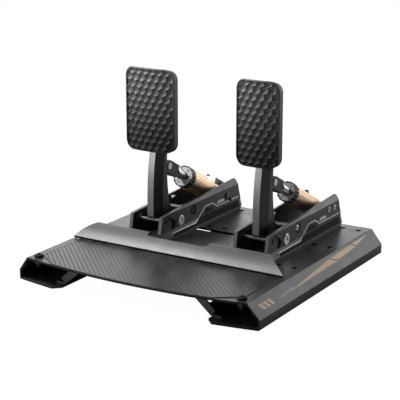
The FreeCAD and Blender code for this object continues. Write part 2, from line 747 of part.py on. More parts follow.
def controller_socket(x):
    back = TRAY_BACK
    shell = box(x, x + SOCKET_WIDTH, back - SOCKET_DEPTH, back, BOARD_TOP, BOARD_TOP + SOCKET_HEIGHT)
    mouth = box(x + SOCKET_WALL, x + SOCKET_WIDTH - SOCKET_WALL, back - SOCKET_DEPTH + SOCKET_WALL, back + 1,
                BOARD_TOP + SOCKET_WALL, BOARD_TOP + SOCKET_HEIGHT - SOCKET_WALL)
    return shell.cut(mouth)


# Channels


def cheek_blank():
    """Right side plate: an outline seen from the side, with a bevelled top and a flared bottom."""
    rise = math.tan(math.radians(CHEEK_BEVEL_ANGLE))
    bevel = DECK_HEIGHT + CHEEK_TOP_HEIGHT - CHEEK_BEVEL_DROP
    top = DECK_HEIGHT + CHEEK_TOP_HEIGHT + 1
    flared = OUTER + CHEEK_FLARE
    section = [(INNER, DECK_HEIGHT), (flared, DECK_HEIGHT), (flared, DECK_HEIGHT + CHEEK_FLARE_BOTTOM),
               (OUTER, DECK_HEIGHT + CHEEK_TOE_HEIGHT), (OUTER, bevel),
               (OUTER - (top - bevel) * rise, top), (INNER, top)]
    outline = [(CHEEK_FRONT, 0), (CHEEK_FRONT, CHEEK_TOE_HEIGHT),
               (CHEEK_FRONT + CHEEK_FRONT_LEAN, CHEEK_FRONT_HEIGHT), (CHEEK_TOP_BACK, CHEEK_TOP_HEIGHT),
               (CHEEK_BACK - CHEEK_WAIST, CHEEK_WAIST_HEIGHT), (CHEEK_BACK, CHEEK_BACK_HEIGHT),
               (CHEEK_BACK, CHEEK_HEEL_HEIGHT), (CHEEK_BACK - CHEEK_HEEL_CUT, 0)]
    side_view = prism_x([(FRONT + y, DECK_HEIGHT + z) for y, z in outline], 0, flared)
    corner = V(0, FRONT + CHEEK_TOP_BACK, DECK_HEIGHT + CHEEK_TOP_HEIGHT)
    side_view = side_view.makeFillet(CHEEK_TOP_RADIUS, edges_along(side_view, ACROSS, [corner]))
    return prism_y(section, FRONT + CHEEK_FRONT, FRONT + CHEEK_BACK).common(side_view)


def rivet_place(station):
    if station is BRAKE:
        return station.rear + V(0, BRAKE_RIVET_BEHIND, -BRAKE_RIVET_DROP)
    return station.rear + V(0, THROTTLE_RIVET_BEHIND, -THROTTLE_RIVET_DROP)


def rivet_shank(station):
    return SMALL_DOME_SHANK if station is BRAKE else THROTTLE_REAR_PIN


def cheek(station, side):
    pocket_tail = STOP_ROD + V(0, POCKET_REACH, -POCKET_DROP)
    depth = OUTER - POCKET_DEPTH
    cuts = [
        strap(STOP_ROD, 2 * POCKET_END, pocket_tail, 2 * POCKET_TAIL, depth, OUTER + 1),
        across(STOP_ROD, 0, OUTER, ROD + 2 * RUNNING_FIT),
        across(PIVOT, 0, OUTER + 1, PIVOT_SHAFT + 2 * RUNNING_FIT),
        across(TIE, depth, OUTER + 1, TIE_RECESS),
        across(TIE, 0, OUTER, M4 + 2 * THREAD_PLAY),
        across(station.rear, 0, OUTER + 1, station.rear_pin + 2 * RUNNING_FIT),
        across(rivet_place(station), 0, OUTER + 1, rivet_shank(station) + 2 * RUNNING_FIT)]
    plate = cheek_blank().cut(cuts)
    if side < 0:
        y = FRONT + CHEEK_WINDOW_FROM_FRONT
        z = DECK_HEIGHT + CHEEK_WINDOW_TOP
        corners = [(y, z), (y, z - CHEEK_WINDOW_HEIGHT),
                   (y + CHEEK_WINDOW_LENGTH, z - CHEEK_WINDOW_HEIGHT + 1)]
        plate = plate.cut(prism_x(corners, 0, OUTER + 1)).mirror(V(0, 0, 0), ACROSS)
    plate.translate(ACROSS * station.x)
    return plate


def both(station, solids):
    """Pieces of the right side of a channel and their mirror images, at the station."""
    pair = list(solids) + [solid.mirror(V(0, 0, 0), ACROSS) for solid in solids]
    for solid in pair:
        solid.translate(ACROSS * station.x)
    return pair


def at(station, solid):
    solid.translate(ACROSS * station.x)
    return solid


def bracket_floor(station):
    plate = box(-INNER, INNER, FRONT + FLOOR_FRONT, FRONT + FLOOR_BACK, DECK_HEIGHT, FLOOR_TOP)
    holes = [rod(V(FLOOR_BOLT_OFFSET, FRONT + row, 0), UP, FLOOR_TOP + 1, M6 + 2 * THREAD_PLAY)
             for row in FLOOR_BOLT_ROWS]
    return at(station, plate.cut(holes))


def stop_rod(station):
    end = OUTER - POCKET_DEPTH + ROD_END
    return at(station, across(STOP_ROD, -end, end, ROD))


def stop_rod_clips(station):
    return both(station, [across_sleeve(STOP_ROD, INNER - CLIP_THICKNESS, INNER, CLIP, ROD)])


def pivot_shaft(station):
    bore = 2 * (CAP_SHANK_LENGTH + 1)
    shaft = across(PIVOT, -OUTER, OUTER, PIVOT_SHAFT)
    ends = [across(PIVOT, side * OUTER - bore / 2, side * OUTER + bore / 2, CAP_SHANK) for side in SIDES]
    return at(station, shaft.cut(ends))


def pivot_caps(station):
    seat = V(OUTER, PIVOT.y, PIVOT.z)
    return both(station, [screw(seat, ACROSS * -1, CAP_SHANK, CAP_SHANK_LENGTH, PIVOT_CAP, PIVOT_CAP_HEIGHT)])


def cheek_spacers(station):
    """Spacers that keep the arm and the cylinder midway between the cheeks."""
    bore = PIVOT_SHAFT + 2 * RUNNING_FIT
    rear_bore = station.rear_pin + 2 * RUNNING_FIT
    rear_start = station.tube / 2 - CAP_FLAT + SIDE_PLAY
    return both(station, [
        across_sleeve(PIVOT, SPACER_INNER_X, INNER, bore + 2 * SPACER_WALL, bore),
        across_sleeve(station.rear, rear_start, INNER, rear_bore + 2 * SPACER_WALL, rear_bore)])


def tie_bar(station):
    bar = across(TIE, -INNER, INNER, TIE_BAR)
    bore = 2 * TIE_SCREW_LENGTH
    ends = [across(TIE, side * INNER - bore / 2, side * INNER + bore / 2, M4) for side in SIDES]
    return at(station, bar.cut(ends))


def tie_bar_screws(station):
    seat = V(OUTER - POCKET_DEPTH, TIE.y, TIE.z)
    return both(station, [screw(seat, ACROSS * -1, M4, TIE_SCREW_LENGTH, TIE_SCREW_HEAD, M4_HEAD_HEIGHT)])


def dome(place, width, height, shank, length):
    """Low round head on the outer face of the right cheek, with a shank that runs inward."""
    head = across(place, OUTER, OUTER + height, width)
    rim = [edge for edge in head.Edges if abs(edge.CenterOfMass.x - OUTER - height) < 0.01]
    return head.makeFillet(height * 0.8, rim).fuse(across(place, OUTER - length, OUTER, shank))


def rear_pin(station):
    """Pin of the cylinder's rear pivot: round-headed on the brake, a tube's end on the throttle."""
    if station is BRAKE:
        half = dome(station.rear, DOME_HEAD, DOME_HEIGHT, station.rear_pin, OUTER)
        return at(station, half.fuse(half.mirror(V(0, 0, 0), ACROSS)).removeSplitter())
    end = OUTER + TUBE_END
    return at(station, across_sleeve(station.rear, -end, end, station.rear_pin, TUBE_BORE))


def cheek_rivets(station):
    place = rivet_place(station)
    if station is BRAKE:
        return both(station, [dome(place, SMALL_DOME, DOME_HEIGHT, SMALL_DOME_SHANK, CHEEK_SHEET)])
    return both(station, [across_sleeve(place, INNER, OUTER + TUBE_END, THROTTLE_REAR_PIN, TUBE_BORE)])


def angle_sensor(station):
    """Flat housing on the inner face of the left cheek, round the pivot's spacer."""
    face = ARM_WIDTH / 2 + MAGNET_THICKNESS + SENSOR_GAP
    tail = PIVOT + V(0, SENSOR_TAIL_REACH, -SENSOR_TAIL_DROP)
    housing = strap(PIVOT, 2 * SENSOR_END, tail, 2 * SENSOR_TAIL_END, -INNER, -face)
    hole = PIVOT_SHAFT + 2 * RUNNING_FIT + 2 * SPACER_WALL + 2 * SLIP
    return at(station, housing.cut(across(PIVOT, -INNER, 0, hole)))


# Pedal arms


def arm_section(share):
    """Level outline of the arm, at a share of the height from its bottom to its top."""
    z = ARM_BOTTOM + share * (ARM_TOP - ARM_BOTTOM)
    front = FRONT + ARM_FRONT + ARM_FRONT_SWEEP * share ** 3
    back = FRONT + ARM_BACK + ARM_BACK_SWEEP * (share - ARM_WAIST_AT) ** 2
    right = [V(ARM_NOSE_WIDTH / 2, front, z), V(ARM_WIDTH / 2, front + ARM_NOSE_DEPTH, z),
             V(ARM_WIDTH / 2, back, z)]
    left = [V(-p.x, p.y, p.z) for p in right[::-1]]
    return Part.makePolygon(right + left + right[:1])


def arm(station):
    half = ARM_WIDTH / 2
    blade = Part.makeLoft([arm_section(i / ARM_STEPS) for i in range(ARM_STEPS + 1)], True, False)
    knee = PIVOT + V(0, -ARM_KNEE_FORWARD, ARM_KNEE_RISE)
    boss = strap(PIVOT, ARM_BOSS, knee, ARM_KNEE, -half, half)
    front = FRONT + PAD_BACK + PAD_PLATE_SHEET
    tang = box(-TANG_WIDTH / 2, TANG_WIDTH / 2, front, front + TANG_DEPTH, ARM_TOP - 1, TANG_TOP)
    root = V(0, FRONT + ARM_BACK - LUG_WIDTH / 2, LINK.z)
    lug = strap(LINK, LUG_WIDTH, root, LUG_WIDTH, -LUG_THICKNESS / 2, LUG_THICKNESS / 2)
    holes = [across(PIVOT, -half - 1, half + 1, BUSH_OUTSIDE),
             across(LINK, -half, half, LINK_PIN + 2 * LINK_PLAY)]
    for place in pad_bolt_places():
        holes.append(rod(place, REARWARD * -1, TANG_DEPTH, M6 + 2 * THREAD_PLAY))
    return at(station, blade.fuse([boss, tang, lug]).cut(holes))


def arm_bushes(station):
    """Flanged plain bearings pressed into both sides of the arm's boss."""
    half = ARM_WIDTH / 2
    bore = PIVOT_SHAFT + 2 * RUNNING_FIT
    tube = across(PIVOT, half - BUSH_LENGTH, half, BUSH_OUTSIDE)
    flange = across(PIVOT, half, half + BUSH_FLANGE_HEIGHT, BUSH_FLANGE)
    return both(station, [tube.fuse(flange).cut(across(PIVOT, 0, half + BUSH_FLANGE_HEIGHT, bore))])


def arm_magnet(station):
    x = -ARM_WIDTH / 2
    return at(station, across_sleeve(PIVOT, x - MAGNET_THICKNESS, x, MAGNET, BUSH_FLANGE + 2 * SLIP))


def arm_bumper(station):
    half = BUMPER_WIDTH / 2
    y = FRONT + ARM_FRONT + BUMPER_INSET
    block = box(-half, half, y, y + BUMPER_LENGTH, ARM_BOTTOM - BUMPER_THICKNESS, ARM_BOTTOM)
    nose = Part.Face(arm_section(0)).extrude(UP * -BUMPER_THICKNESS)
    return at(station, block.common(nose))


def pad_bolt_places():
    y = FRONT + PAD_BACK + PAD_PLATE_SHEET + TANG_DEPTH
    return [V(0, y, PAD_BOLT_HEIGHT), V(0, y, PAD_BOLT_HEIGHT + PAD_BOLT_PITCH)]


def pad_bolts(station):
    return [at(station, m6_screw(place, REARWARD * -1)) for place in pad_bolt_places()]


def pad_plate(station):
    """Steel plate behind the pad, bolted to the arm's tang."""
    half = station.pad / 2 - PAD_PLATE_MARGIN
    y = FRONT + PAD_BACK
    z0 = PAD_BOTTOM + PAD_PLATE_MARGIN
    z1 = PAD_BOTTOM + PAD_HEIGHT - PAD_PLATE_MARGIN
    plate = box(-half, half, y, y + PAD_PLATE_SHEET, z0, z1)
    corners = [V(x, 0, z) for x in (-half, half) for z in (z0, z1)]
    plate = plate.makeFillet(PAD_PLATE_CORNER, edges_along(plate, REARWARD, corners))
    holes = [rod(place, REARWARD * -1, TANG_DEPTH + PAD_PLATE_SHEET, M6) for place in pad_bolt_places()]
    return at(station, plate.cut(holes))


def pad(station):
    """Rubber pad, crowned from side to side, with rounded corners."""
    half = station.pad / 2
    back = FRONT + PAD_BACK
    edge = back - PAD_EDGE_DEPTH
    front = Part.Arc(V(-half, edge, PAD_BOTTOM), V(0, edge - PAD_CROWN, PAD_BOTTOM), V(half, edge, PAD_BOTTOM))
    sides = [V(half, edge, PAD_BOTTOM), V(half, back, PAD_BOTTOM), V(-half, back, PAD_BOTTOM),
             V(-half, edge, PAD_BOTTOM)]
    plan = Part.Face(Part.Wire([front.toShape()] + Part.makePolygon(sides).Edges))
    block = plan.extrude(UP * PAD_HEIGHT)
    top = PAD_BOTTOM + PAD_HEIGHT
    face = box(-half, half, edge - PAD_CROWN, back, PAD_BOTTOM, top)
    corners = [V(x, 0, z) for x in (-half, half) for z in (PAD_BOTTOM, top)]
    block = block.common(face.makeFillet(PAD_CORNER, edges_along(face, REARWARD, corners)))
    slope = [(edge - PAD_CROWN, top), (back + 1, top - PAD_TOP_DRAFT), (back + 1, top + 1),
             (edge - PAD_CROWN, top + 1)]
    block = block.cut(prism_x(slope, -half, half))
    rim = [e for e in block.Edges if e.BoundBox.YMax < back - 1]
    return at(station, block.makeFillet(PAD_ROUNDING, rim))


# Links and cylinders, drawn along Y from the fork's pin and then tilted into place


def tilted(station, shape):
    shape.rotate(V(0, 0, 0), ACROSS, -station.slope)
    shape.translate(LINK + ACROSS * station.x)
    return shape


def along(start, length, diameter):
    return rod(REARWARD * start, REARWARD, length, diameter)


def along_sleeve(start, length, outside, inside):
    return sleeve(REARWARD * start, REARWARD, length, outside, inside)


def link_fork(station):
    """Fork whose two ears straddle the arm's lug, threaded on the push rod."""
    gap = LUG_THICKNESS / 2 + SIDE_PLAY
    width = gap + FORK_EAR
    half = FORK_WIDTH / 2
    origin = V(0, 0, 0)
    body = across(origin, -width, width, FORK_WIDTH).fuse(box(-width, width, 0, FORK_LENGTH, -half, half))
    body = body.removeSplitter()
    corners = [V(x, FORK_LENGTH, 0) for x in (-width, width)]
    body = body.makeFillet(FORK_ROUNDING, edges_along(body, UP, corners))
    cuts = [box(-gap, gap, -FORK_WIDTH, FORK_ROOT, -FORK_WIDTH, FORK_WIDTH),
            across(origin, -width, width, LINK_PIN + 2 * RUNNING_FIT),
            along(FORK_ROOT, FORK_LENGTH, PUSH_ROD)]
    return tilted(station, body.cut(cuts))


def link_pin(station):
    end = LUG_THICKNESS / 2 + SIDE_PLAY + FORK_EAR
    origin = V(0, 0, 0)
    heads = [across(origin, end, end + PIN_HEAD_HEIGHT, PIN_HEAD),
             across(origin, -end - PIN_HEAD_HEIGHT, -end, PIN_HEAD)]
    return tilted(station, across(origin, -end, end, LINK_PIN).fuse(heads))


def push_rod(station):
    shank = along(PUSH_ROD_START, PISTON_AT - PUSH_ROD_START, PUSH_ROD)
    return tilted(station, shank.fuse(along(PISTON_AT, PISTON_LENGTH, station.bore - 2 * SLIP)))


def lock_nut(station):
    start = REARWARD * FORK_LENGTH
    return tilted(station, nut(start, REARWARD, LOCK_NUT_FLATS, LOCK_NUT_HEIGHT, PUSH_ROD))


def cylinder(station):
    """Tube with a thinner neck at its front, which the preload ring turns on."""
    shoulder = TUBE_FRONT + NECK_LENGTH
    body = along_sleeve(shoulder, station.seam - shoulder, station.tube, station.bore)
    return tilted(station, body.fuse(along_sleeve(TUBE_FRONT, NECK_LENGTH, station.neck, station.bore)))


def face_disc(station):
    """Front plug of the cylinder, with a ring of small holes for a pin wrench."""
    disc = along(FACE_AT, FACE_HEIGHT, station.neck - 2 * FACE_STEP)
    disc = disc.fuse(along(TUBE_FRONT, FACE_STUB, station.bore))
    cuts = [along(FACE_AT, FACE_HEIGHT + FACE_STUB, PUSH_ROD + 2 * SLIP)]
    reach = (station.neck + PUSH_ROD) / 4
    for i in range(FACE_HOLES):
        turn = 2 * math.pi * i / FACE_HOLES
        start = V(reach * math.cos(turn), FACE_AT, reach * math.sin(turn))
        cuts.append(rod(start, REARWARD, FACE_HOLE_DEPTH, FACE_HOLE))
    return tilted(station, disc.cut(cuts))


def preload_ring(station):
    """Knurled ring that turns on the front of the cylinder."""
    bore = station.neck + 2 * RUNNING_FIT
    outside = bore + 2 * RING_WALL
    reach = outside / 2 + RING_NOTCH / 2 - RING_NOTCH_DEPTH
    notches = []
    for i in range(RING_NOTCHES):
        turn = 2 * math.pi * i / RING_NOTCHES
        place = V(reach * math.cos(turn), RING_AT, reach * math.sin(turn))
        notches.append(rod(place, REARWARD, RING_LENGTH, RING_NOTCH))
    return tilted(station, along_sleeve(RING_AT, RING_LENGTH, outside, bore).cut(notches))


def end_cap(station):
    """Rear plug of the cylinder, with flats and a cross hole for the rear pin."""
    cap = along(station.seam, station.tail - station.seam, station.tube)
    rim = [edge for edge in cap.Edges if abs(edge.CenterOfMass.y - station.tail) < 0.01]
    cap = cap.makeFillet(CAP_ROUNDING, rim).fuse(along(station.seam - CAP_STUB, CAP_STUB, station.bore))
    flat = station.tube / 2 - CAP_FLAT
    y0 = station.reach - CAP_FLAT_LENGTH / 2
    y1 = station.reach + CAP_FLAT_LENGTH / 2
    size = station.tube
    cuts = [across(REARWARD * station.reach, -size, size, station.rear_pin + 2 * RUNNING_FIT),
            box(flat, size, y0, y1, -size, size), box(-size, -flat, y0, y1, -size, size)]
    if station is BRAKE:
        half = CELL_WIDTH / 2 + SLIP
        cuts.append(box(-half, half, station.seam + CELL_FROM_SEAM - SLIP, station.tail + 1, CELL_SEAT, size))
    return tilted(station, cap.cut(cuts))


def brake_elastomers():
    """Rubber discs between the piston and the end cap, round the push rod's line."""
    start = PISTON_AT + PISTON_LENGTH
    length = (BRAKE.seam - CAP_STUB - start) / PAD_DISCS
    width = BRAKE.bore - 2 * SLIP
    return [tilted(BRAKE, along_sleeve(start + i * length, length, width, DISC_BORE)) for i in range(PAD_DISCS)]


def throttle_spring():
    """Return spring between the piston and the end cap, as the sleeve that it fills."""
    start = PISTON_AT + PISTON_LENGTH
    length = THROTTLE.seam - CAP_STUB - start
    width = THROTTLE.bore - 2 * SLIP
    return tilted(THROTTLE, along_sleeve(start, length, width, width - 2 * SPRING_WALL))


def load_cell():
    """Bar with two cross holes that thin it where it bends."""
    half = CELL_WIDTH / 2
    start = BRAKE.seam + CELL_FROM_SEAM
    bar = box(-half, half, start, start + CELL_LENGTH, CELL_SEAT, CELL_SEAT + CELL_HEIGHT)
    middle = V(0, start + CELL_LENGTH / 2, CELL_SEAT + CELL_HEIGHT / 2)
    holes = [across(middle + REARWARD * (step * CELL_HOLE_PITCH / 2), -half, half, CELL_HOLE) for step in SIDES]
    return tilted(BRAKE, bar.cut(holes))


# All pieces


def build_base():
    save("base_deck", [base_deck()])
    brace = rail_brace()
    save("rail_braces", [brace, brace.mirror(V(0, 0, 0), ACROSS)])
    save("heel_plate", [heel_plate()])
    save("heel_stop", [heel_stop()])
    save("heel_stop_ribs", [heel_stop_rib(x) for x in RIB_PLACES])
    save("deck_screws", deck_screws())
    save("corner_screws", [m6_screw(place, UP * -1) for place in corner_places()])
    save("bracket_bolts", [m6_screw(place, UP * -1) for place in bracket_bolt_places()])
    save("deck_nuts", deck_nuts())
    save("controller_case", [controller_case()])
    save("controller_board", [controller_board()])
    save("controller_sockets", [controller_socket(x) for x in socket_places()])


def build_channels():
    for station in STATIONS:
        save(station.name + "_cheek_left", [cheek(station, -1)])
        save(station.name + "_cheek_right", [cheek(station, 1)])
    save("bracket_floors", [bracket_floor(station) for station in STATIONS])
    save("stop_rods", [stop_rod(station) for station in STATIONS])
    save("stop_rod_clips", stop_rod_clips(BRAKE) + stop_rod_clips(THROTTLE))
    save("pivot_shafts", [pivot_shaft(station) for station in STATIONS])
    save("pivot_caps", pivot_caps(BRAKE) + pivot_caps(THROTTLE))
    save("cheek_spacers", cheek_spacers(BRAKE) + cheek_spacers(THROTTLE))
    save("tie_bars", [tie_bar(station) for station in STATIONS])
    save("tie_bar_screws", tie_bar_screws(BRAKE) + tie_bar_screws(THROTTLE))
    save("rear_pins", [rear_pin(station) for station in STATIONS])
    save("cheek_rivets", cheek_rivets(BRAKE) + cheek_rivets(THROTTLE))
    save("angle_sensors", [angle_sensor(station) for station in STATIONS])


def build_pedal(station):
    name = station.name
    save(name + "_arm", [arm(station)])
    save(name + "_bushes", arm_bushes(station))
    save(name + "_magnet", [arm_magnet(station)])
    save(name + "_bumper", [arm_bumper(station)])
    save(name + "_pad_plate", [pad_plate(station)])
    save(name + "_pad_bolts", pad_bolts(station))
    save(name + "_pad", [pad(station)])
    save(name + "_fork", [link_fork(station)])
    save(name + "_link_pin", [link_pin(station)])
    save(name + "_lock_nut", [lock_nut(station)])
    save(name + "_push_rod", [push_rod(station)])
    save(name + "_cylinder", [cylinder(station)])
    save(name + "_face_disc", [face_disc(station)])
    save(name + "_preload_ring", [preload_ring(station)])
    save(name + "_end_cap", [end_cap(station)])


os.makedirs("parts", exist_ok=True)
build_base()
build_channels()
build_pedal(BRAKE)
build_pedal(THROTTLE)
save("brake_elastomers", brake_elastomers())
save("throttle_spring", [throttle_spring()])
save("load_cell", [load_cell()])
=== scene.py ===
import bmesh
import bpy
import math
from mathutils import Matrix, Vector


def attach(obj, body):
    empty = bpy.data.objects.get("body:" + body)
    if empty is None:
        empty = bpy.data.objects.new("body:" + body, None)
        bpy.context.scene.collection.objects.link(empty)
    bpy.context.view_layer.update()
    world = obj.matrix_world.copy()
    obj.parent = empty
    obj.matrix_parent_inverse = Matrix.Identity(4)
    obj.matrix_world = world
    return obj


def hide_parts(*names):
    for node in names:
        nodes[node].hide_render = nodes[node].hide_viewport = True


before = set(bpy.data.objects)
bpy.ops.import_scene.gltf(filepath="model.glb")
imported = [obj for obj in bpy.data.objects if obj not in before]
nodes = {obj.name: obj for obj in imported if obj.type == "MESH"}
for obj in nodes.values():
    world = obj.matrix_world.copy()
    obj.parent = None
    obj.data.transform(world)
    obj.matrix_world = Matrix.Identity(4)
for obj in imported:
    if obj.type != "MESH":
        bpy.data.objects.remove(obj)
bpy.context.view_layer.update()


# Base
# One steel sheet folded into a deck, two slopes and two flanged feet, with a strip welded inside each
# foot. It is powder coated in satin graphite, a finely pebbled skin that rounds the cut edges. Faces
# that look towards the driver, which are the sheet's front edges, are painted dull black: painted shade.

EDGE_SAMPLES = 6
FACE_MATCH, CORNER_MATCH = 0.985, 0.86
COAT_GRAIN, COAT_CLOUD, COAT_GLOSS = 0.0006, 0.04, 0.012
COAT_DEPTH, COAT_EDGE = 0.00002, 0.0005
GRAPHITE, GRAPHITE_EDGE, GRAPHITE_ROUGHNESS = 0.024, 0.03, 0.4
FRONT_SHADE_BLACK, FRONT_FACE_ROUGHNESS = 0.001, 0.95
TOWARDS_DRIVER = (0, -1, 0)
MIX_SOCKETS = {"RGBA": (6, 7, 2), "FLOAT": (2, 3, 0)}


def new_finish(name, metallic=0.0, specular=0.5):
    """New material, its node tree and its shader."""
    finish = bpy.data.materials.new(name)
    finish.use_nodes = True
    shader = finish.node_tree.nodes["Principled BSDF"]
    shader.inputs["Metallic"].default_value = metallic
    shader.inputs["Specular IOR Level"].default_value = specular
    return finish, finish.node_tree, shader


def feed(tree, socket, value):
    """Links an output to a socket, or sets the socket's own value."""
    if isinstance(value, bpy.types.NodeSocket):
        tree.links.new(value, socket)
    else:
        socket.default_value = value


def patches(tree, size, stretch=(1, 1, 1), turn=0.0, detail=2.0):
    """Soft random patches of about that size in metres, drawn out along an axis by stretch."""
    place = tree.nodes.new("ShaderNodeTexCoord")
    mapping = tree.nodes.new("ShaderNodeMapping")
    mapping.inputs["Rotation"].default_value = (0, 0, turn)
    mapping.inputs["Scale"].default_value = stretch
    noise = tree.nodes.new("ShaderNodeTexNoise")
    noise.inputs["Scale"].default_value = 1 / size
    noise.inputs["Detail"].default_value = detail
    tree.links.new(place.outputs["Object"], mapping.inputs["Vector"])
    tree.links.new(mapping.outputs["Vector"], noise.inputs["Vector"])
    return noise.outputs["Fac"]


def spread(tree, amount, start, end, low=0.0, high=1.0):
    """Stretches the part of amount from start to end over low to high."""
    span = tree.nodes.new("ShaderNodeMapRange")
    span.interpolation_type = "SMOOTHSTEP"
    for name, value in (("From Min", start), ("From Max", end), ("To Min", low), ("To Max", high)):
        span.inputs[name].default_value = value
    tree.links.new(amount, span.inputs["Value"])
    return span.outputs["Result"]


def clouds(tree, size, low=0.0, high=1.0, detail=2.0):
    """Soft patches that run from low to high."""
    return spread(tree, patches(tree, size, detail=detail), 0.3, 0.7, low, high)


def tint(tree, amount, first, other, kind="RGBA"):
    """Mixes two colours, or two numbers, where each may be an output."""
    first_in, other_in, mixed_out = MIX_SOCKETS[kind]
    blend = tree.nodes.new("ShaderNodeMix")
    blend.data_type = kind
    feed(tree, blend.inputs[0], amount)
    feed(tree, blend.inputs[first_in], first)
    feed(tree, blend.inputs[other_in], other)
    return blend.outputs[mixed_out]


def grey(level, warmth=0.0):
    return (level * (1 + warmth), level, level * (1 - warmth), 1)


def facing(tree, direction):
    """How far a face looks along a direction."""
    surface = tree.nodes.new("ShaderNodeNewGeometry")
    along = tree.nodes.new("ShaderNodeVectorMath")
    along.operation = "DOT_PRODUCT"
    feed(tree, along.inputs[1], direction)
    tree.links.new(surface.outputs["True Normal"], along.inputs[0])
    return along.outputs["Value"]


def skin(tree, shader, height, depth, edge):
    """Bump of that depth on a surface whose edges are rounded by edge, both in metres."""
    rounding = tree.nodes.new("ShaderNodeBevel")
    rounding.samples = EDGE_SAMPLES
    rounding.inputs["Radius"].default_value = edge
    bump = tree.nodes.new("ShaderNodeBump")
    bump.inputs["Distance"].default_value = depth
    tree.links.new(height, bump.inputs["Height"])
    tree.links.new(rounding.outputs["Normal"], bump.inputs["Normal"])
    tree.links.new(bump.outputs["Normal"], shader.inputs["Normal"])
    return rounding.outputs["Normal"]


def rubbed_edges(tree, rounded):
    """1 along the piece's edges and 0 on its faces."""
    return spread(tree, facing(tree, rounded), FACE_MATCH, CORNER_MATCH)


def coating(name, level, edge_level, roughness, specular=0.5, depth=COAT_DEPTH, edge=COAT_EDGE):
    """Powder coat: pebbled skin, slightly uneven shade and gloss, and paler edges."""
    finish, tree, shader = new_finish(name, specular=specular)
    rounded = skin(tree, shader, patches(tree, COAT_GRAIN), depth, edge)
    cloud = spread(tree, patches(tree, COAT_CLOUD, detail=4.0), 0.35, 0.65)
    shade = tint(tree, cloud, grey(level * 0.94, 0.01), grey(level * 1.06, -0.01))
    rubbed = tint(tree, rubbed_edges(tree, rounded), shade, grey(edge_level))
    tree.links.new(rubbed, shader.inputs["Base Color"])
    gloss = clouds(tree, COAT_GLOSS, roughness - 0.03, roughness + 0.03, 4.0)
    tree.links.new(gloss, shader.inputs["Roughness"])
    return finish


def dress(finish, *names):
    for name in names:
        for slot in nodes[name].material_slots:
            slot.material = finish


graphite_coat = coating("graphite_powder_coat", GRAPHITE, GRAPHITE_EDGE, GRAPHITE_ROUGHNESS)
dress(graphite_coat, "rail_braces")

deck_coat = coating("graphite_deck_coat", GRAPHITE, GRAPHITE_EDGE, GRAPHITE_ROUGHNESS)
tree = deck_coat.node_tree
shader = tree.nodes["Principled BSDF"]
# Painted shade: faces that look towards the driver, the sheet's front edges, are painted dull black.
painted_front_shade = spread(tree, facing(tree, TOWARDS_DRIVER), 0.8, 0.95)
front_shade_inputs = (("Base Color", grey(FRONT_SHADE_BLACK), "RGBA"), ("Roughness", FRONT_FACE_ROUGHNESS, "FLOAT"))
for name, front_shade_value, kind in front_shade_inputs:
    coated = shader.inputs[name].links[0].from_socket
    tree.links.new(tint(tree, painted_front_shade, coated, front_shade_value, kind), shader.inputs[name])
dress(deck_coat, "base_deck")


# Printed stripes on the slopes
# Gold slanted bars and long wedges, screen printed on both sloped sides of the base, a few hundredths
# of a millimetre thick. Their corners go along the slope from its front and down it, in millimetres.

MM = 0.001
JOIN_WITHIN = 0.002 * MM
DECK_TOP = 30 * MM
DECK_EDGE_X = 150 * MM
SLOPE_RUN, SLOPE_FALL = 0.6247, 0.7809
FRONT_Y = -153 * MM
INK_LIFT, INK_SINK = 0.05 * MM, 0.15 * MM
BARS = 3
BAR_START, BAR_PITCH, BAR_LENGTH = 16, 9.5, 5.5
BAR_TOP, BAR_BOTTOM, BAR_SLANT = 7.6, 15.4, 6
WEDGES = (((52, 12.9), (92, 10.8), (94.5, 12.4)),
          ((84, 13.6), (190, 5.0), (207, 11.6)),
          ((194, 4.8), (252, 3.2), (262, 8.4), (211, 11.2)),
          ((256, 3.1), (302, 2.6), (265.5, 7.8)))
GOLD_INK = (0.8, 0.56, 0.34, 1)
INK_WEAR, WORN_SHARE = 0.0008, 0.86


def new_piece(name, build, finish):
    """Object from a bmesh, with its normals outwards and one finish."""
    bmesh.ops.remove_doubles(build, verts=build.verts, dist=JOIN_WITHIN)
    bmesh.ops.recalc_face_normals(build, faces=build.faces)
    mesh = bpy.data.meshes.new(name)
    build.to_mesh(mesh)
    build.free()
    piece = bpy.data.objects.new(name, mesh)
    bpy.context.scene.collection.objects.link(piece)
    mesh.materials.append(finish)
    return piece


def sleeve(build, rings):
    """Walls from each ring of corners to the next."""
    for here, there in zip(rings, rings[1:]):
        for i in range(len(here)):
            k = (i + 1) % len(here)
            build.faces.new((here[i], there[i], there[k], here[k]))


def printed(name, outlines, surface, finish):
    """Thin print on the base: outlines in a surface's own two measures, in mm."""
    build = bmesh.new()
    for outline in outlines:
        rings = []
        for lift in (INK_LIFT, -INK_SINK):
            corners = []
            for along, over in outline:
                place, normal = surface(along, over)
                corners.append(build.verts.new(place + normal * lift))
            rings.append(corners)
        top, bottom = rings
        build.faces.new(top)
        build.faces.new(bottom[::-1])
        sleeve(build, rings)
    piece = new_piece(name, build, finish)
    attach(piece, "base")


def slanted(start, length, low, high, slant):
    """Parallelogram bar along a slope or cheek."""
    return [(start, low), (start + length, low), (start + length + slant, high), (start + slant, high)]


def slope_surface(side):
    def place(along, down):
        point = Vector((side * (DECK_EDGE_X + SLOPE_RUN * down * MM), FRONT_Y + along * MM,
                        DECK_TOP - SLOPE_FALL * down * MM))
        return point, Vector((side * SLOPE_FALL, 0, SLOPE_RUN))
    return place


def printing_ink(name, colour, roughness, specular=0.5):
    finish, tree, shader = new_finish(name, specular=specular)
    worn = spread(tree, patches(tree, INK_WEAR, detail=4.0), 0.25, 0.75)
    shade = tint(tree, worn, [c * WORN_SHARE for c in colour[:3]] + [1], colour)
    tree.links.new(shade, shader.inputs["Base Color"])
    shader.inputs["Roughness"].default_value = roughness
    return finish


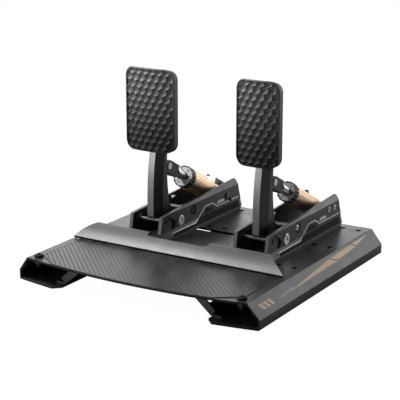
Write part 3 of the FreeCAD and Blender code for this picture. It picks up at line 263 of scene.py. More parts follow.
gold_ink = printing_ink("gold_ink", GOLD_INK, 0.45)
slope_marks = []
for i in range(BARS):
    slope_marks.append(slanted(BAR_START + BAR_PITCH * i, BAR_LENGTH, BAR_TOP, BAR_BOTTOM, BAR_SLANT))
slope_marks += WEDGES
for side, hand in ((1, "right"), (-1, "left")):
    printed("slope_stripes_" + hand, slope_marks, slope_surface(side), gold_ink)


# Heel plate
# Thin plate with fine diagonal ribs pressed into it, bowed along the front and cut off at the corners.
# It lies on the deck with its back edge under the heel stop. It is black and satin, with soft streaks
# along the ribs painted into its colour as painted reflection.

PLATE_HALF = 139 * MM
PLATE_BACK = -56 * MM
PLATE_TOP = 30.8 * MM
PLATE_CUT_X, PLATE_CUT_Y = 31.5 * MM, 22.7 * MM
PLATE_INSET = 0.8 * MM
PLATE_MARGIN = 1.4 * MM
CUT_INSET_SHARE = 0.4
BOW_RADIUS, BOW_CENTRE = 810.57 * MM, 643.57 * MM
BOW_STEPS = 24
RIB_PITCH = 4.9 * MM
RIB_HEIGHT = 0.4 * MM
RIB_STEPS = ((0, 0), (1.3, 0), (1.9, 1), (4.3, 1))
RIB_TURN = math.radians(45)
LIP_RISE = 0.01 * MM
SHORTEST_EDGE = 0.003 * MM
REFLECTION_STREAK_WIDTH, REFLECTION_STREAK_STRETCH = 0.018, (1, 0.12, 1)


def plate_outline(inset):
    """Corners of the heel plate, from its back left round by the front."""
    radius = BOW_RADIUS - PLATE_INSET - inset
    cut_x = PLATE_HALF - PLATE_CUT_X - inset * CUT_INSET_SHARE
    cut_y = BOW_CENTRE - math.sqrt(radius ** 2 - cut_x ** 2)
    side_y = cut_y + PLATE_CUT_Y
    arc = []
    for i in range(BOW_STEPS + 1):
        x = cut_x - 2 * cut_x * i / BOW_STEPS
        arc.append((x, BOW_CENTRE - math.sqrt(radius ** 2 - x ** 2)))
    half = PLATE_HALF - inset
    back = PLATE_BACK - inset
    return [Vector(p) for p in [(-half, back), (-half, side_y)] + arc[::-1] + [(half, side_y), (half, back)]]


def kept_side(polygon, normal, offset):
    """The part of a flat polygon where normal times point is at least offset."""
    kept = []
    for i, here in enumerate(polygon):
        there = polygon[(i + 1) % len(polygon)]
        a, b = here.dot(normal) - offset, there.dot(normal) - offset
        if a >= 0:
            kept.append(here)
        if (a > 0) != (b > 0):
            kept.append(here + (there - here) * (a / (a - b)))
    return kept


def rib_face(strip, low, high, level, next_level, build):
    """Face over a strip of a rib, from one level at low to the next at high."""
    corners = []
    for point in strip:
        if corners and (point - Vector(corners[-1].co.xy)).length <= SHORTEST_EDGE:
            continue
        share = (point.dot(across_ribs) - low) / (high - low)
        height = PLATE_TOP - RIB_HEIGHT * (1 - level - (next_level - level) * share)
        corners.append(build.verts.new((point.x, point.y, height)))
    if len(corners) > 2:
        build.faces.new(corners)


def open_rim(build):
    return [edge for edge in build.edges if edge.is_boundary]


def drawn_rim(build):
    """Draws a wall from the open rim and gives its new corners."""
    wall = bmesh.ops.extrude_edge_only(build, edges=open_rim(build))["geom"]
    return [part for part in wall if isinstance(part, bmesh.types.BMVert)]


def nearest_on(outline, point):
    """The place on a closed outline that is nearest to a point."""
    best = None
    for i, start in enumerate(outline):
        run = outline[(i + 1) % len(outline)] - start
        share = min(1, max(0, (point - start).dot(run) / run.length_squared))
        near = start + run * share
        if best is None or (near - point).length < (best - point).length:
            best = near
    return best


across_ribs = Vector((1, 1)).normalized()
ribbed, outer = plate_outline(PLATE_MARGIN), plate_outline(0)
reach = [corner.dot(across_ribs) for corner in ribbed]
steps = [(start * MM, level) for start, level in RIB_STEPS] + [(RIB_PITCH, 0)]
build = bmesh.new()
rib = math.floor(min(reach) / RIB_PITCH)
while rib * RIB_PITCH < max(reach):
    for (start, level), (end, next_level) in zip(steps, steps[1:]):
        low, high = rib * RIB_PITCH + start, rib * RIB_PITCH + end
        strip = kept_side(kept_side(ribbed, across_ribs, low), -across_ribs, -high)
        if len(strip) > 2:
            rib_face(strip, low, high, level, next_level, build)
    rib += 1
bmesh.ops.remove_doubles(build, verts=build.verts, dist=JOIN_WITHIN)
for corner in drawn_rim(build):
    corner.co.z = PLATE_TOP + LIP_RISE
for corner in drawn_rim(build):
    corner.co.xy = nearest_on(outer, Vector(corner.co.xy))
for corner in drawn_rim(build):
    corner.co.z = DECK_TOP
bmesh.ops.holes_fill(build, edges=open_rim(build))

plate_finish, tree, shader = new_finish("ribbed_satin_black", specular=0.45)
skin(tree, shader, patches(tree, 0.0005), 0.00001, 0.0002)
# Painted reflection: soft darker and paler streaks along the ribs in the plate's colour.
reflection_streaks = patches(tree, REFLECTION_STREAK_WIDTH, REFLECTION_STREAK_STRETCH, RIB_TURN, 3.0)
painted_reflection_streaks = tint(tree, spread(tree, reflection_streaks, 0.35, 0.62), grey(0.01), grey(0.025))
tree.links.new(painted_reflection_streaks, shader.inputs["Base Color"])
tree.links.new(spread(tree, reflection_streaks, 0.3, 0.7, 0.36, 0.42), shader.inputs["Roughness"])
heel_plate = new_piece("ribbed_heel_plate", build, plate_finish)
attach(heel_plate, "base")
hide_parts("heel_plate")


# Heel stop and its ribs
# A curved steel sheet, coated in a satin grey paler than the base's, that the heels rest against; the
# paler grey is partly painted sheen. Four ribs hold it up from the deck, and a thin black strip under
# its front edge is a painted shadow that fills the gap there.

STOP_GREY_AND_SHEEN, STOP_ROUGHNESS = 0.09, 0.42
SHADOW_STRIP_PROFILE = ((-60.0, 30.85), (-60.2, 31.1), (-61.03, 32.78),
                 (-61.5, 32.8), (-61.8, 32.5), (-61.9, 30.85))
SHADOW_STRIP_LEFT, SHADOW_STRIP_RIGHT = -148.9, 144.3

# Partly painted sheen: the stop's coat is paler than the base's to stand in part for the light it catches.
stop_coat_and_sheen = coating("satin_grey_coat_and_sheen", STOP_GREY_AND_SHEEN, STOP_GREY_AND_SHEEN, STOP_ROUGHNESS, depth=0.00001, edge=0.0003)
dress(stop_coat_and_sheen, "heel_stop")
dress(graphite_coat, "heel_stop_ribs")

# Painted shadow: a thin black strip that fills the gap under the stop's front edge.
shadow_strip_finish, tree, shader = new_finish("painted_shadow_strip", specular=0.1)
skin(tree, shader, patches(tree, 0.0008), 0.00002, 0.0003)
tree.links.new(tint(tree, clouds(tree, 0.006), grey(0.002), grey(0.005)), shader.inputs["Base Color"])
shader.inputs["Roughness"].default_value = 0.85
build = bmesh.new()
ends = []
for x in (SHADOW_STRIP_LEFT, SHADOW_STRIP_RIGHT):
    ends.append([build.verts.new((x * MM, y * MM, z * MM)) for y, z in SHADOW_STRIP_PROFILE])
build.faces.new(ends[0])
build.faces.new(ends[1][::-1])
sleeve(build, ends)
strip = new_piece("heel_stop_shadow_strip", build, shadow_strip_finish)
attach(strip, "base")


# Screws of the base
# Socket screws and nuts in black oxide, a thin oily oxide over steel that is worn brighter at the
# corners. The two countersunk screws at the front corners are duller.

OXIDE, OXIDE_ROUGHNESS = 0.03, 0.36


def dark_steel(name, level, roughness):
    finish, tree, shader = new_finish(name, metallic=0.6)
    rounded = skin(tree, shader, patches(tree, 0.0004), 0.000006, 0.0002)
    shade = tint(tree, clouds(tree, 0.002), grey(level * 0.8), grey(level * 1.25))
    rubbed = tint(tree, rubbed_edges(tree, rounded), shade, grey(level * 2.6))
    tree.links.new(rubbed, shader.inputs["Base Color"])
    gloss = clouds(tree, 0.001, roughness - 0.06, roughness + 0.08)
    tree.links.new(gloss, shader.inputs["Roughness"])
    return finish


black_oxide = dark_steel("black_oxide", OXIDE, OXIDE_ROUGHNESS)
dress(black_oxide, "deck_screws", "bracket_bolts", "deck_nuts", "brake_pad_bolts", "throttle_pad_bolts")

countersunk, tree, shader = new_finish("blackened_corner_screw", specular=0.2)
skin(tree, shader, patches(tree, 0.0004), 0.000006, 0.0002)
tree.links.new(tint(tree, patches(tree, 0.002), grey(0.003), grey(0.008)), shader.inputs["Base Color"])
shader.inputs["Roughness"].default_value = 0.6
dress(countersunk, "corner_screws")


# Electronics tray
# A black moulded tray screwed under the deck, with a green circuit board and three sockets. The angle
# sensors and the arms' bumpers are moulded in the same black.

MOULDED_BLACK, MOULDED_ROUGHNESS, MOULDED_GRAIN = 0.02, 0.5, 0.0007
MASK_GREEN, TRACK_GREEN = (0.012, 0.07, 0.03, 1), (0.03, 0.13, 0.05, 1)
TRACK_WIDTH, TRACK_STRETCH = 0.003, (1, 0.2, 1)


def moulded(name, level, roughness, grain):
    finish, tree, shader = new_finish(name)
    skin(tree, shader, patches(tree, grain), 0.00002, 0.0003)
    shade = tint(tree, clouds(tree, 0.02), grey(level * 0.85), grey(level * 1.15))
    tree.links.new(shade, shader.inputs["Base Color"])
    gloss = clouds(tree, 0.004, roughness - 0.05, roughness + 0.05)
    tree.links.new(gloss, shader.inputs["Roughness"])
    return finish


black_moulding = moulded("black_moulding", MOULDED_BLACK, MOULDED_ROUGHNESS, MOULDED_GRAIN)
dress(black_moulding, "controller_case", "controller_sockets", "angle_sensors", "brake_bumper",
      "throttle_bumper")

board_finish, tree, shader = new_finish("green_solder_mask")
tracks = patches(tree, TRACK_WIDTH, TRACK_STRETCH, 0.0, 4.0)
masked = tint(tree, spread(tree, tracks, 0.48, 0.52), MASK_GREEN, TRACK_GREEN)
tree.links.new(masked, shader.inputs["Base Color"])
skin(tree, shader, tracks, 0.00003, 0.0002)
shader.inputs["Roughness"].default_value = 0.35
dress(board_finish, "controller_board")


# Channels
# Two steel channels bolted on the deck, each with a left and a right cheek on a floor plate. The
# cheeks have a bevelled top edge and a powder coat like the base's, a little paler.

CHEEK_GREY, CHEEK_EDGE_GREY, CHEEK_ROUGHNESS = 0.038, 0.08, 0.4

cheek_coat = coating("cheek_powder_coat", CHEEK_GREY, CHEEK_EDGE_GREY, CHEEK_ROUGHNESS, specular=0.4,
                     edge=0.0006)
dress(cheek_coat, "brake_cheek_left", "brake_cheek_right", "throttle_cheek_left", "throttle_cheek_right",
      "bracket_floors")


# Printed lines on the cheeks
# A light keyline that steps up towards the rear, with dark fields under it and three short copper
# bars, screen printed on both cheeks of each channel. Corners go along the cheek and up from the
# ground, in millimetres. The cheek flares out at its foot.

STATIONS = (("brake", -65), ("throttle", 83.5))
CHANNEL_HALF = 23.5
FLARE, FLARE_LOW, FLARE_HIGH = 2.5, 33, 42
KEYLINE_WIDTH = 1.6
LOWER_LINE = ((148, 38.0), (204, 38.0), (211, 41.9))
UPPER_LINE = ((211.1, 42.1), (228, 53.5), (246, 53.5), (257, 46.6), (313, 46.6))
KEYLINE_TAB = ((256, 49.2), (277, 49.2), (273, 53.2), (260, 53.2))
LOWER_BAND = ((150, 33.4), (313, 33.4), (313, 41.9), (212.4, 41.9), (204.6, 37.1), (150, 37.1))
SHADE_PANEL = ((213.5, 42.1), (313, 42.1), (313, 45.7), (256.6, 45.7), (245.8, 52.5), (229.2, 52.5))
COPPER_BARS = 3
COPPER_START, COPPER_PITCH, COPPER_LENGTH = 226, 8, 4.6
COPPER_BOTTOM, COPPER_TOP, COPPER_TOP_STEP, COPPER_SLANT = 43.6, 50.8, 1.6, 6
SHARPEST_MITRE = 0.5
SILVER_INK = (0.85, 0.85, 0.85, 1)
COPPER_INK = (0.27, 0.135, 0.075, 1)
BLACK_INK = (0.006, 0.006, 0.007, 1)
SMOKE_INK = (0.05, 0.044, 0.042, 1)


def ribbon(points, width):
    """Quads of a line of that width through points, mitred at its corners."""
    points = [Vector(point) for point in points]
    last = len(points) - 1
    sides = []
    for i, point in enumerate(points):
        before = (points[max(i, 1)] - points[max(i, 1) - 1]).normalized()
        after = (points[min(i + 1, last)] - points[min(i, last - 1)]).normalized()
        along = (before + after).normalized()
        across = Vector((-along.y, along.x))
        reach = width / 2 / max(SHARPEST_MITRE, abs(across.dot(Vector((-after.y, after.x)))))
        sides.append((point + across * reach, point - across * reach))
    return [[here[0], there[0], there[1], here[1]] for here, there in zip(sides, sides[1:])]


def cheek_surface(middle, side):
    slope = FLARE / (FLARE_HIGH - FLARE_LOW)

    def place(along, up):
        flared = up < FLARE_HIGH
        out = CHANNEL_HALF + (slope * (FLARE_HIGH - up) if flared else 0)
        normal = Vector((side, 0, slope if flared else 0)).normalized()
        return Vector(((middle + side * out) * MM, FRONT_Y + along * MM, up * MM)), normal
    return place


silver_ink = printing_ink("silver_ink", SILVER_INK, 0.35)
copper_ink = printing_ink("copper_ink", COPPER_INK, 0.4)
black_ink = printing_ink("black_ink", BLACK_INK, 0.7, 0.12)
smoke_ink = printing_ink("smoke_ink", SMOKE_INK, 0.45, 0.4)
keyline = ribbon(LOWER_LINE, KEYLINE_WIDTH) + ribbon(UPPER_LINE, KEYLINE_WIDTH) + [KEYLINE_TAB]
copper_bars = []
for i in range(COPPER_BARS):
    copper_bars.append(slanted(COPPER_START + COPPER_PITCH * i, COPPER_LENGTH, COPPER_BOTTOM,
                               COPPER_TOP - COPPER_TOP_STEP * i, COPPER_SLANT - i))
for name, middle in STATIONS:
    for side, hand in ((1, "right"), (-1, "left")):
        face = cheek_surface(middle, side)
        printed(name + "_lower_band_" + hand, [LOWER_BAND], face, black_ink)
        printed(name + "_shade_panel_" + hand, [SHADE_PANEL], face, smoke_ink)
        printed(name + "_keyline_" + hand, keyline, face, silver_ink)
        printed(name + "_copper_bar_" + hand, copper_bars, face, copper_ink)


# Shafts, pins and rings of the channels
# Turned steel: a pivot shaft with pressed caps and bronze bushes, spacers, retaining rings, rear pins
# and rivets, and a blackened front stop rod and cross bars. On the brake's side the pins, the rivets
# and the cross bars' screws are blackened too.

BRIGHT_STEEL, BRIGHT_ROUGHNESS = (0.62, 0.62, 0.61), 0.25
BRIGHT_PIN = grey(0.62)
BRONZE, BRONZE_ROUGHNESS = (0.45, 0.28, 0.12), 0.35
TOOL_MARKS, TOOL_MARK_DEPTH, TURNED_EDGE = 0.0003, 0.000003, 0.0003
SIDE_BLEND = 1 * MM


def turned_metal(name, colour, roughness, metallic=1.0, edge=TURNED_EDGE):
    finish, tree, shader = new_finish(name, metallic=metallic)
    rounded = skin(tree, shader, patches(tree, TOOL_MARKS), TOOL_MARK_DEPTH, edge)
    shade = tint(tree, clouds(tree, 0.003, detail=4.0), [c * 0.88 for c in colour] + [1], list(colour) + [1])
    pale = [min(1, c * 1.25) for c in colour] + [1]
    tree.links.new(tint(tree, rubbed_edges(tree, rounded), shade, pale), shader.inputs["Base Color"])
    gloss = clouds(tree, 0.0012, roughness - 0.05, roughness + 0.07, 4.0)
    tree.links.new(gloss, shader.inputs["Roughness"])
    return finish


def object_axis(tree, axis):
    """How far along X, Y or Z a point of the standing piece is."""
    place = tree.nodes.new("ShaderNodeTexCoord")
    parts = tree.nodes.new("ShaderNodeSeparateXYZ")
    tree.links.new(place.outputs["Object"], parts.inputs[0])
    return parts.outputs[axis]


def sided_metal(name, brake_colour, brake_metal, roughness):
    """Blackened steel on the brake's side of the base and bright steel on the throttle's."""
    finish, tree, shader = new_finish(name)
    skin(tree, shader, patches(tree, TOOL_MARKS), TOOL_MARK_DEPTH, TURNED_EDGE)
    across = object_axis(tree, "X")
    side = spread(tree, across, -SIDE_BLEND, SIDE_BLEND)
    tree.links.new(tint(tree, side, brake_colour, BRIGHT_PIN), shader.inputs["Base Color"])
    metal = spread(tree, across, -SIDE_BLEND, SIDE_BLEND, brake_metal, 1.0)
    tree.links.new(metal, shader.inputs["Metallic"])
    gloss = clouds(tree, 0.0012, roughness - 0.05, roughness + 0.05)
    tree.links.new(gloss, shader.inputs["Roughness"])
    return finish


bright_steel = turned_metal("bright_steel", BRIGHT_STEEL, BRIGHT_ROUGHNESS)
dress(bright_steel, "stop_rod_clips", "pivot_shafts", "pivot_caps", "cheek_spacers",
      "brake_link_pin", "throttle_link_pin", "brake_magnet", "throttle_magnet")
dress(black_oxide, "stop_rods", "tie_bars")
dress(sided_metal("rear_pin_metal", grey(0.04), 0.0, 0.36), "rear_pins")
dress(sided_metal("rivet_metal", grey(0.004), 0.0, 0.36), "cheek_rivets")
dress(sided_metal("tie_screw_metal", grey(0.006), 0.2, 0.3), "tie_bar_screws")
bronze = turned_metal("bearing_bronze", BRONZE, BRONZE_ROUGHNESS)
dress(bronze, "brake_bushes", "throttle_bushes")


# Arms
# Machined aluminium levers, six-sided in section and waisted, anodised satin black, with a plate
# bolted on behind each pad. Their flanks are painted darker than the front: painted shade.

ARM_BLACK, ARM_ROUGHNESS, ARM_EDGE = (0.16, 0.16, 0.162), 0.36, 0.0006
PAINTED_FLANK_SHADE = 0.06
PLATE_BLACK, PLATE_ROUGHNESS = (0.03, 0.03, 0.03), 0.4
SIDEWAYS = (1, 0, 0)


def squared(tree, amount):
    product = tree.nodes.new("ShaderNodeMath")
    product.operation = "MULTIPLY"
    tree.links.new(amount, product.inputs[0])
    tree.links.new(amount, product.inputs[1])
    return product.outputs[0]


arm_anodising = turned_metal("black_anodised_arm", ARM_BLACK, ARM_ROUGHNESS, metallic=0.9, edge=ARM_EDGE)
tree = arm_anodising.node_tree
shader = tree.nodes["Principled BSDF"]
front_colour = shader.inputs["Base Color"].links[0].from_socket
# Painted shade: faces that look sideways are painted darker than the front.
painted_flank_shade_mask = spread(tree, squared(tree, facing(tree, SIDEWAYS)), 0.45, 0.7)
tree.links.new(tint(tree, painted_flank_shade_mask, front_colour, grey(PAINTED_FLANK_SHADE)), shader.inputs["Base Color"])
dress(arm_anodising, "brake_arm", "throttle_arm")
plate_anodising = turned_metal("black_anodised_plate", PLATE_BLACK, PLATE_ROUGHNESS, metallic=0.3)
dress(plate_anodising, "brake_pad_plate", "throttle_pad_plate")


# Pads
# Moulded black pads, crowned from side to side, with a honeycomb of shallow dishes sunk into the face
# inside a plain rim, and rounded corners. Painted light: the colour goes from painted shade, black at the
# foot, to a painted dark grey at the top, and the sides are painted a lighter plain grey.

PAD_BOTTOM, PAD_HEIGHT = 141.8, 102.7
PAD_WIDTHS = {"brake": 70, "throttle": 57}
PAD_SETBACK, PAD_EDGE_DEPTH, PAD_CROWN = 146, 8.5, 4.5
PAD_BACK_Y = FRONT_Y / MM + PAD_SETBACK
PAD_EDGE_Y = PAD_BACK_Y - PAD_EDGE_DEPTH
PAD_CORNER, CORNER_STEPS = 12.5, 8
PAD_ROUNDING, ROUNDING_STEPS = 1.0, 5
TOP_DRAFT, DRAFT_POWER = 2.4, 4
RIM = 1.9
RIM_STEP = 0.1
DISH_PITCH, DISH_DEPTH = 9.6, 2.5
DISH_REACH = DISH_PITCH / math.sqrt(3)
ROW_PITCH = DISH_PITCH * math.sqrt(3) / 2
DISH_ROWS, DISH_COLUMNS = range(-12, 3), range(-5, 5)
DISH_SIDES = 6
TRIANGLES = 4
DISH_JOIN, CUT_JOIN = 0.01, 0.002
FIRST_DISHES = {"brake": (0.7, 40.0), "throttle": (0.4, 40.8)}
SHADE_FOOT, SHADE_TOP = 0.14, 0.25
PAINTED_FOOT_SHADE, PAINTED_TOP_LIGHT, PAINTED_SIDE_LIGHT = 0.004, 0.1, 0.105
FOOT_ROUGHNESS, TOP_ROUGHNESS = 0.72, 0.46


def pad_face(width, x):
    """Y of the crowned face at x from the pad's middle, in mm."""
    half = width / 2
    radius = (half ** 2 + PAD_CROWN ** 2) / (2 * PAD_CROWN)
    return PAD_EDGE_Y - math.sqrt(max(0, radius ** 2 - x ** 2)) + radius - PAD_CROWN


def inset_outline(width, inset):
    """Rounded rectangle in x and z from the pad's middle, counter-clockwise."""
    half_x, half_z = width / 2 - PAD_CORNER, PAD_HEIGHT / 2 - PAD_CORNER
    points = []
    for quarter, (sx, sz) in enumerate(((1, 1), (-1, 1), (-1, -1), (1, -1))):
        for i in range(CORNER_STEPS + 1):
            angle = math.pi / 2 * (quarter + i / CORNER_STEPS)
            points.append(Vector((sx * half_x + (PAD_CORNER - inset) * math.cos(angle),
                                  sz * half_z + (PAD_CORNER - inset) * math.sin(angle))))
    return points


def moved_out(width, point, inset):
    """The point's place on the outline at that inset."""
    half_x, half_z = width / 2 - PAD_CORNER, PAD_HEIGHT / 2 - PAD_CORNER
    core = Vector((max(-half_x, min(half_x, point.x)), max(-half_z, min(half_z, point.y))))
    return core + (point - core).normalized() * (PAD_CORNER - inset)


def dish_centre(first, row, column):
    return Vector((first[0] + (column + (row % 2) / 2) * DISH_PITCH, first[1] + row * ROW_PITCH))


def add_dish(centre, build):
    """Flat hexagon of small triangles."""
    spokes = []
    for i in range(DISH_SIDES):
        turn = 2 * math.pi / DISH_SIDES * i
        spokes.append(Vector((math.sin(turn), math.cos(turn))) * DISH_REACH)
    for i in range(DISH_SIDES):
        a, b = spokes[i] / TRIANGLES, spokes[(i + 1) % DISH_SIDES] / TRIANGLES
        for m in range(TRIANGLES):
            for n in range(TRIANGLES - m):
                lower = [a * m + b * n, a * (m + 1) + b * n, a * m + b * (n + 1)]
                upper = [a * (m + 1) + b * n, a * (m + 1) + b * (n + 1), a * m + b * (n + 1)]
                for corners in ([upper, lower] if m + n < TRIANGLES - 1 else [lower]):
                    build.faces.new([build.verts.new((*(centre + corner), 0)) for corner in corners])


def flat_honeycomb(width, first):
    """Triangles of the whole honeycomb in x and z, cut off at the rim."""
    build = bmesh.new()
    for row in DISH_ROWS:
        for column in DISH_COLUMNS:
            centre = dish_centre(first, row, column)
            if abs(centre.x) <= width / 2 + DISH_REACH and abs(centre.y) <= PAD_HEIGHT / 2 + DISH_REACH:
                add_dish(centre, build)
    bmesh.ops.remove_doubles(build, verts=build.verts, dist=DISH_JOIN)
    outline = inset_outline(width, RIM)
    for i, start in enumerate(outline):
        run = outline[(i + 1) % len(outline)] - start
        if run.length < DISH_JOIN:
            continue
        outward = Vector((run.y, -run.x)).normalized()
        bmesh.ops.bisect_plane(build, geom=build.verts[:] + build.edges[:] + build.faces[:], dist=CUT_JOIN,
                               plane_co=start.to_3d(), plane_no=outward.to_3d(), clear_outer=True)
    return build


def dish_depth(point, first):
    """How deep the honeycomb is at a point: a round dish about the nearest centre."""
    nearest = math.inf
    middle_row = round((point.y - first[1]) / ROW_PITCH)
    for row in (middle_row - 1, middle_row, middle_row + 1):
        column = round((point.x - first[0]) / DISH_PITCH - (row % 2) / 2)
        nearest = min(nearest, (point - dish_centre(first, row, column)).length)
    return DISH_DEPTH * (1 - (nearest / DISH_REACH) ** 2)


def pad_piece(name, middle, finish):
    width, first = PAD_WIDTHS[name], FIRST_DISHES[name]
    build = flat_honeycomb(width, first)
    levels = {}
    for vert in build.verts:
        levels[vert] = dish_depth(Vector(vert.co.xy), first) + RIM_STEP
    rounding = [(RIM, 0.0)]
    for i in range(ROUNDING_STEPS + 1):
        angle = math.pi / 2 * i / ROUNDING_STEPS
        rounding.append((PAD_ROUNDING * (1 - math.sin(angle)), PAD_ROUNDING * (1 - math.cos(angle))))
    for inset, depth in rounding:
        for vert in drawn_rim(build):
            vert.co.xy = moved_out(width, Vector(vert.co.xy), inset)
            levels[vert] = depth
    for vert in drawn_rim(build):
        levels[vert] = None
    for vert in build.verts:
        x, z = vert.co.xy
        level = levels[vert]
        y = PAD_BACK_Y if level is None else pad_face(width, x) + level
        if level is None and z > 0:
            z -= TOP_DRAFT * (2 * z / PAD_HEIGHT) ** DRAFT_POWER
        vert.co = Vector((middle + x, y, PAD_BOTTOM + PAD_HEIGHT / 2 + z)) * MM
    bmesh.ops.holes_fill(build, edges=open_rim(build))
    piece = new_piece(name + "_honeycomb_pad", build, finish)
    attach(piece, name + "_pedal")
    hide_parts(name + "_pad")


pad_finish, tree, shader = new_finish("moulded_black_pad", specular=0.4)
skin(tree, shader, patches(tree, 0.0006), 0.00002, 0.0003)
height = object_axis(tree, "Z")
# Painted light: black at the foot of the face and dark grey at its top, standing in for how the lamps fall.
painted_height_light = tint(tree, spread(tree, height, SHADE_FOOT, SHADE_TOP), grey(PAINTED_FOOT_SHADE), grey(PAINTED_TOP_LIGHT))
# Painted light: faces that look sideways are painted a lighter plain grey.
side = spread(tree, squared(tree, facing(tree, SIDEWAYS)), 0.6, 0.95)
tree.links.new(tint(tree, side, painted_height_light, grey(PAINTED_SIDE_LIGHT)), shader.inputs["Base Color"])
gloss = spread(tree, height, SHADE_FOOT, SHADE_TOP, FOOT_ROUGHNESS, TOP_ROUGHNESS)
tree.links.new(gloss, shader.inputs["Roughness"])
for name, middle in STATIONS:
    pad_piece(name, middle, pad_finish)


# Forks, push rods and pins
# A forged and phosphated fork on each arm's pin, locked by a nut on a bright steel rod. The rod's
# thread is cut from the nut to the cylinder.

LINK_Y, LINK_Z = 17, 117
REAR_Y = 130
REAR_HEIGHTS = {"brake": 54.5, "throttle": 58.3}
TURNED_STEPS = 40
THREAD_START, THREAD_TURNS, THREAD_PITCH = 28.3, 12, 1.5
THREAD_CREST, THREAD_ROOT, THREAD_SUNK = 5.66, 5.45, 0.4
CREST_START, CREST_END = 0.4, 0.6
FORK_GREY, FORK_ROUGHNESS = 0.05, 0.4
ROD_STEEL, ROD_ROUGHNESS = (0.75, 0.75, 0.75), 0.32


def turned(name, middle, profile):
    """Ring about a cylinder's line, from a closed profile of distances along it and radii, in mm."""
    along = Vector((0, REAR_Y - LINK_Y, REAR_HEIGHTS[name] - LINK_Z)).normalized()
    across = Vector((1, 0, 0))
    upright = along.cross(across)
    build = bmesh.new()
    rings = []
    for i in range(TURNED_STEPS):
        turn = 2 * math.pi * i / TURNED_STEPS
        out = across * math.cos(turn) + upright * math.sin(turn)
        rings.append([build.verts.new((Vector((middle, LINK_Y, LINK_Z)) + along * a + out * r) * MM)
                      for a, r in profile])
    sleeve(build, rings + rings[:1])
    return build


fork_finish = dark_steel("phosphated_fork", FORK_GREY, FORK_ROUGHNESS)
dress(fork_finish, "brake_fork", "throttle_fork")
rod_finish = turned_metal("rod_steel", ROD_STEEL, ROD_ROUGHNESS)
dress(rod_finish, "brake_push_rod", "throttle_push_rod", "brake_lock_nut", "throttle_lock_nut")

thread_profile = [(THREAD_START, THREAD_ROOT - THREAD_SUNK), (THREAD_START, THREAD_ROOT)]
for i in range(THREAD_TURNS):
    start = THREAD_START + i * THREAD_PITCH
    thread_profile += [(start + THREAD_PITCH * CREST_START, THREAD_CREST),
                       (start + THREAD_PITCH * CREST_END, THREAD_CREST),
                       (start + THREAD_PITCH, THREAD_ROOT)]
thread_profile.append((THREAD_START + THREAD_TURNS * THREAD_PITCH, THREAD_ROOT - THREAD_SUNK))
for name, middle in STATIONS:
    thread = new_piece(name + "_rod_thread", turned(name, middle, thread_profile), rod_finish)
    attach(thread, name + "_rod")


# Cylinders
# Gold anodised aluminium tubes, each closed by a cap at the rear and a silver plug at the front, with
# a notched black ring that sets the preload. The brake's has elastomers inside and a load cell at the
# rear, the throttle's a steel spring.

GOLD, GOLD_ROUGHNESS, GOLD_EDGE = (0.92, 0.66, 0.44), 0.34, 0.0004
PLUG_SILVER, PLUG_ROUGHNESS = (0.17, 0.17, 0.175), 0.44
CELL_ALUMINIUM, CELL_ROUGHNESS = (0.4, 0.38, 0.39), 0.45
SPRING_STEEL, SPRING_ROUGHNESS = (0.4, 0.4, 0.4), 0.3
ELASTOMER_GREY, ELASTOMER_ROUGHNESS, ELASTOMER_GRAIN = 0.1, 0.5, 0.0006
SEAM_PLACES = {"brake": 113.03, "throttle": 118.04}
TUBE_RADII = {"brake": 14.0, "throttle": 12.0}
SEAM_HALF, SEAM_SUNK, SEAM_PROUD = 0.4, 0.3, 0.07
SEAM_BLACK, SEAM_ROUGHNESS = 0.008, 0.6

gold = turned_metal("gold_anodised", GOLD, GOLD_ROUGHNESS, metallic=0.9, edge=GOLD_EDGE)
dress(gold, "brake_cylinder", "throttle_cylinder", "brake_end_cap", "throttle_end_cap")
silver = turned_metal("silver_plug", PLUG_SILVER, PLUG_ROUGHNESS)
dress(silver, "brake_face_disc", "throttle_face_disc")
ring_finish = dark_steel("black_ring", OXIDE, OXIDE_ROUGHNESS)
dress(ring_finish, "brake_preload_ring", "throttle_preload_ring")
seam_finish = dark_steel("seam_shadow", SEAM_BLACK, SEAM_ROUGHNESS)
for name, middle in STATIONS:
    inner, outer = TUBE_RADII[name] - SEAM_SUNK, TUBE_RADII[name] + SEAM_PROUD
    front, back = SEAM_PLACES[name] - SEAM_HALF, SEAM_PLACES[name] + SEAM_HALF
    seam_profile = [(front, inner), (front, outer), (back, outer), (back, inner)]
    seam = new_piece(name + "_cap_seam", turned(name, middle, seam_profile), seam_finish)
    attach(seam, name + "_cylinder_body")

cell_finish = turned_metal("load_cell_aluminium", CELL_ALUMINIUM, CELL_ROUGHNESS)
dress(cell_finish, "load_cell")
spring_finish = turned_metal("spring_steel", SPRING_STEEL, SPRING_ROUGHNESS)
dress(spring_finish, "throttle_spring")
elastomer = moulded("grey_elastomer", ELASTOMER_GREY, ELASTOMER_ROUGHNESS, ELASTOMER_GRAIN)
dress(elastomer, "brake_elastomers")


# Floor and surroundings
# A pale matt floor that the camera sees as white, and a dim plain studio around it that the camera
# sees as white too.

FLOOR_HALF, FLOOR_GAP = 8, 0.3 * MM
FLOOR_GREY, FLOOR_ROUGHNESS = 0.4, 0.8
GLOW_SHARE, GLOW_STRENGTH = 0.9, 1.1
STUDIO_LIGHT, STUDIO_WHITE = 0.06, 1.0

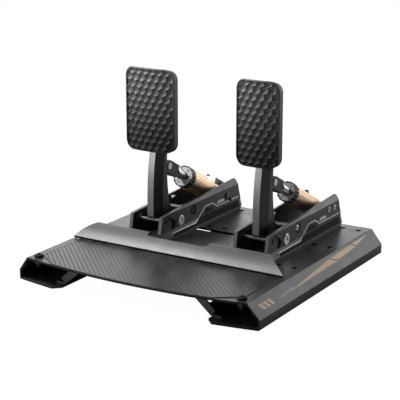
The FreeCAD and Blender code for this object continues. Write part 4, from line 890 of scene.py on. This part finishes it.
floor_build = bmesh.new()
bmesh.ops.create_grid(floor_build, x_segments=1, y_segments=1, size=FLOOR_HALF)
floor_finish, tree, shader = new_finish("pale_floor", specular=0.2)
shader.inputs["Base Color"].default_value = grey(FLOOR_GREY)
shader.inputs["Roughness"].default_value = FLOOR_ROUGHNESS
rays = tree.nodes.new("ShaderNodeLightPath")
share = tree.nodes.new("ShaderNodeMath")
share.operation = "MULTIPLY"
share.inputs[1].default_value = GLOW_SHARE
tree.links.new(rays.outputs["Is Camera Ray"], share.inputs[0])
glow = tree.nodes.new("ShaderNodeEmission")
glow.inputs["Strength"].default_value = GLOW_STRENGTH
both = tree.nodes.new("ShaderNodeMixShader")
tree.links.new(share.outputs[0], both.inputs[0])
tree.links.new(shader.outputs[0], both.inputs[1])
tree.links.new(glow.outputs[0], both.inputs[2])
tree.links.new(both.outputs[0], tree.nodes["Material Output"].inputs["Surface"])
floor = new_piece("floor", floor_build, floor_finish)
floor.location.z = -FLOOR_GAP

world = bpy.data.worlds.new("studio")
bpy.context.scene.world = world
world.use_nodes = True
tree = world.node_tree
rays = tree.nodes.new("ShaderNodeLightPath")
surround = tree.nodes.new("ShaderNodeMapRange")
surround.inputs["To Min"].default_value = STUDIO_LIGHT
surround.inputs["To Max"].default_value = STUDIO_WHITE
tree.links.new(rays.outputs["Is Camera Ray"], surround.inputs["Value"])
tree.links.new(surround.outputs["Result"], tree.nodes["Background"].inputs["Strength"])
tree.nodes["Background"].inputs["Color"].default_value = (1, 1, 1, 1)


# Lamps
# Soft studio lamps around the set, all turned to its middle but for a small one turned to the pads.
# Places are in metres, each lamp's sides in metres and its light in watts.

SET_MIDDLE = (0, 0, 0.08)
PADS_FOOT = (-0.04, -0.02, 0.2)


def soft_lamp(name, place, aim, size, watts):
    lamp = bpy.data.lights.new(name, "AREA")
    lamp.shape = "RECTANGLE"
    lamp.size, lamp.size_y = size
    lamp.energy = watts
    holder = bpy.data.objects.new(name, lamp)
    holder.location = place
    holder.rotation_euler = (Vector(aim) - Vector(place)).to_track_quat("-Z", "Y").to_euler()
    bpy.context.scene.collection.objects.link(holder)


soft_lamp("top_left_lamp", (-0.66, -0.2, 1.65), SET_MIDDLE, (0.7, 0.6), 11)
soft_lamp("left_high_lamp", (-1.12, -0.3, 1.38), SET_MIDDLE, (0.9, 0.7), 18)
soft_lamp("pad_lamp", (-0.3, -0.17, 0.46), PADS_FOOT, (0.12, 0.12), 1.6)
soft_lamp("rear_left_lamp", (-0.95, 1.45, 0.45), SET_MIDDLE, (1.1, 0.5), 6.5)
soft_lamp("front_left_lamp", (-1.02, -1.46, 0.37), SET_MIDDLE, (0.7, 0.7), 10)
soft_lamp("rear_right_lamp", (0.94, 1.5, 0.32), SET_MIDDLE, (0.6, 0.6), 5.5)
soft_lamp("rear_right_high_lamp", (0.85, 1.27, 0.95), SET_MIDDLE, (0.6, 0.6), 4.2)
soft_lamp("rear_lamp", (0, 1.75, 0.44), SET_MIDDLE, (0.6, 0.6), 3)


# Camera
# It stands at the front right, a little above the pads, and looks slightly down on the set through a
# long lens.

CAMERA_PLACE = (0.80338, -1.30811, 0.52094)
CAMERA_DOWN, CAMERA_TURN = math.radians(15.82), math.radians(31.663)
LENS_LENGTH, FILM_WIDTH, FARTHEST = 118.44, 36, 50

lens = bpy.data.cameras.new("camera")
lens.lens = LENS_LENGTH
lens.sensor_width = FILM_WIDTH
lens.clip_end = FARTHEST
camera = bpy.data.objects.new("camera", lens)
camera.location = CAMERA_PLACE
camera.rotation_euler = (math.pi / 2 - CAMERA_DOWN, 0, CAMERA_TURN)
bpy.context.scene.collection.objects.link(camera)
bpy.context.scene.camera = camera
bpy.context.scene.view_settings.view_transform = "Standard"
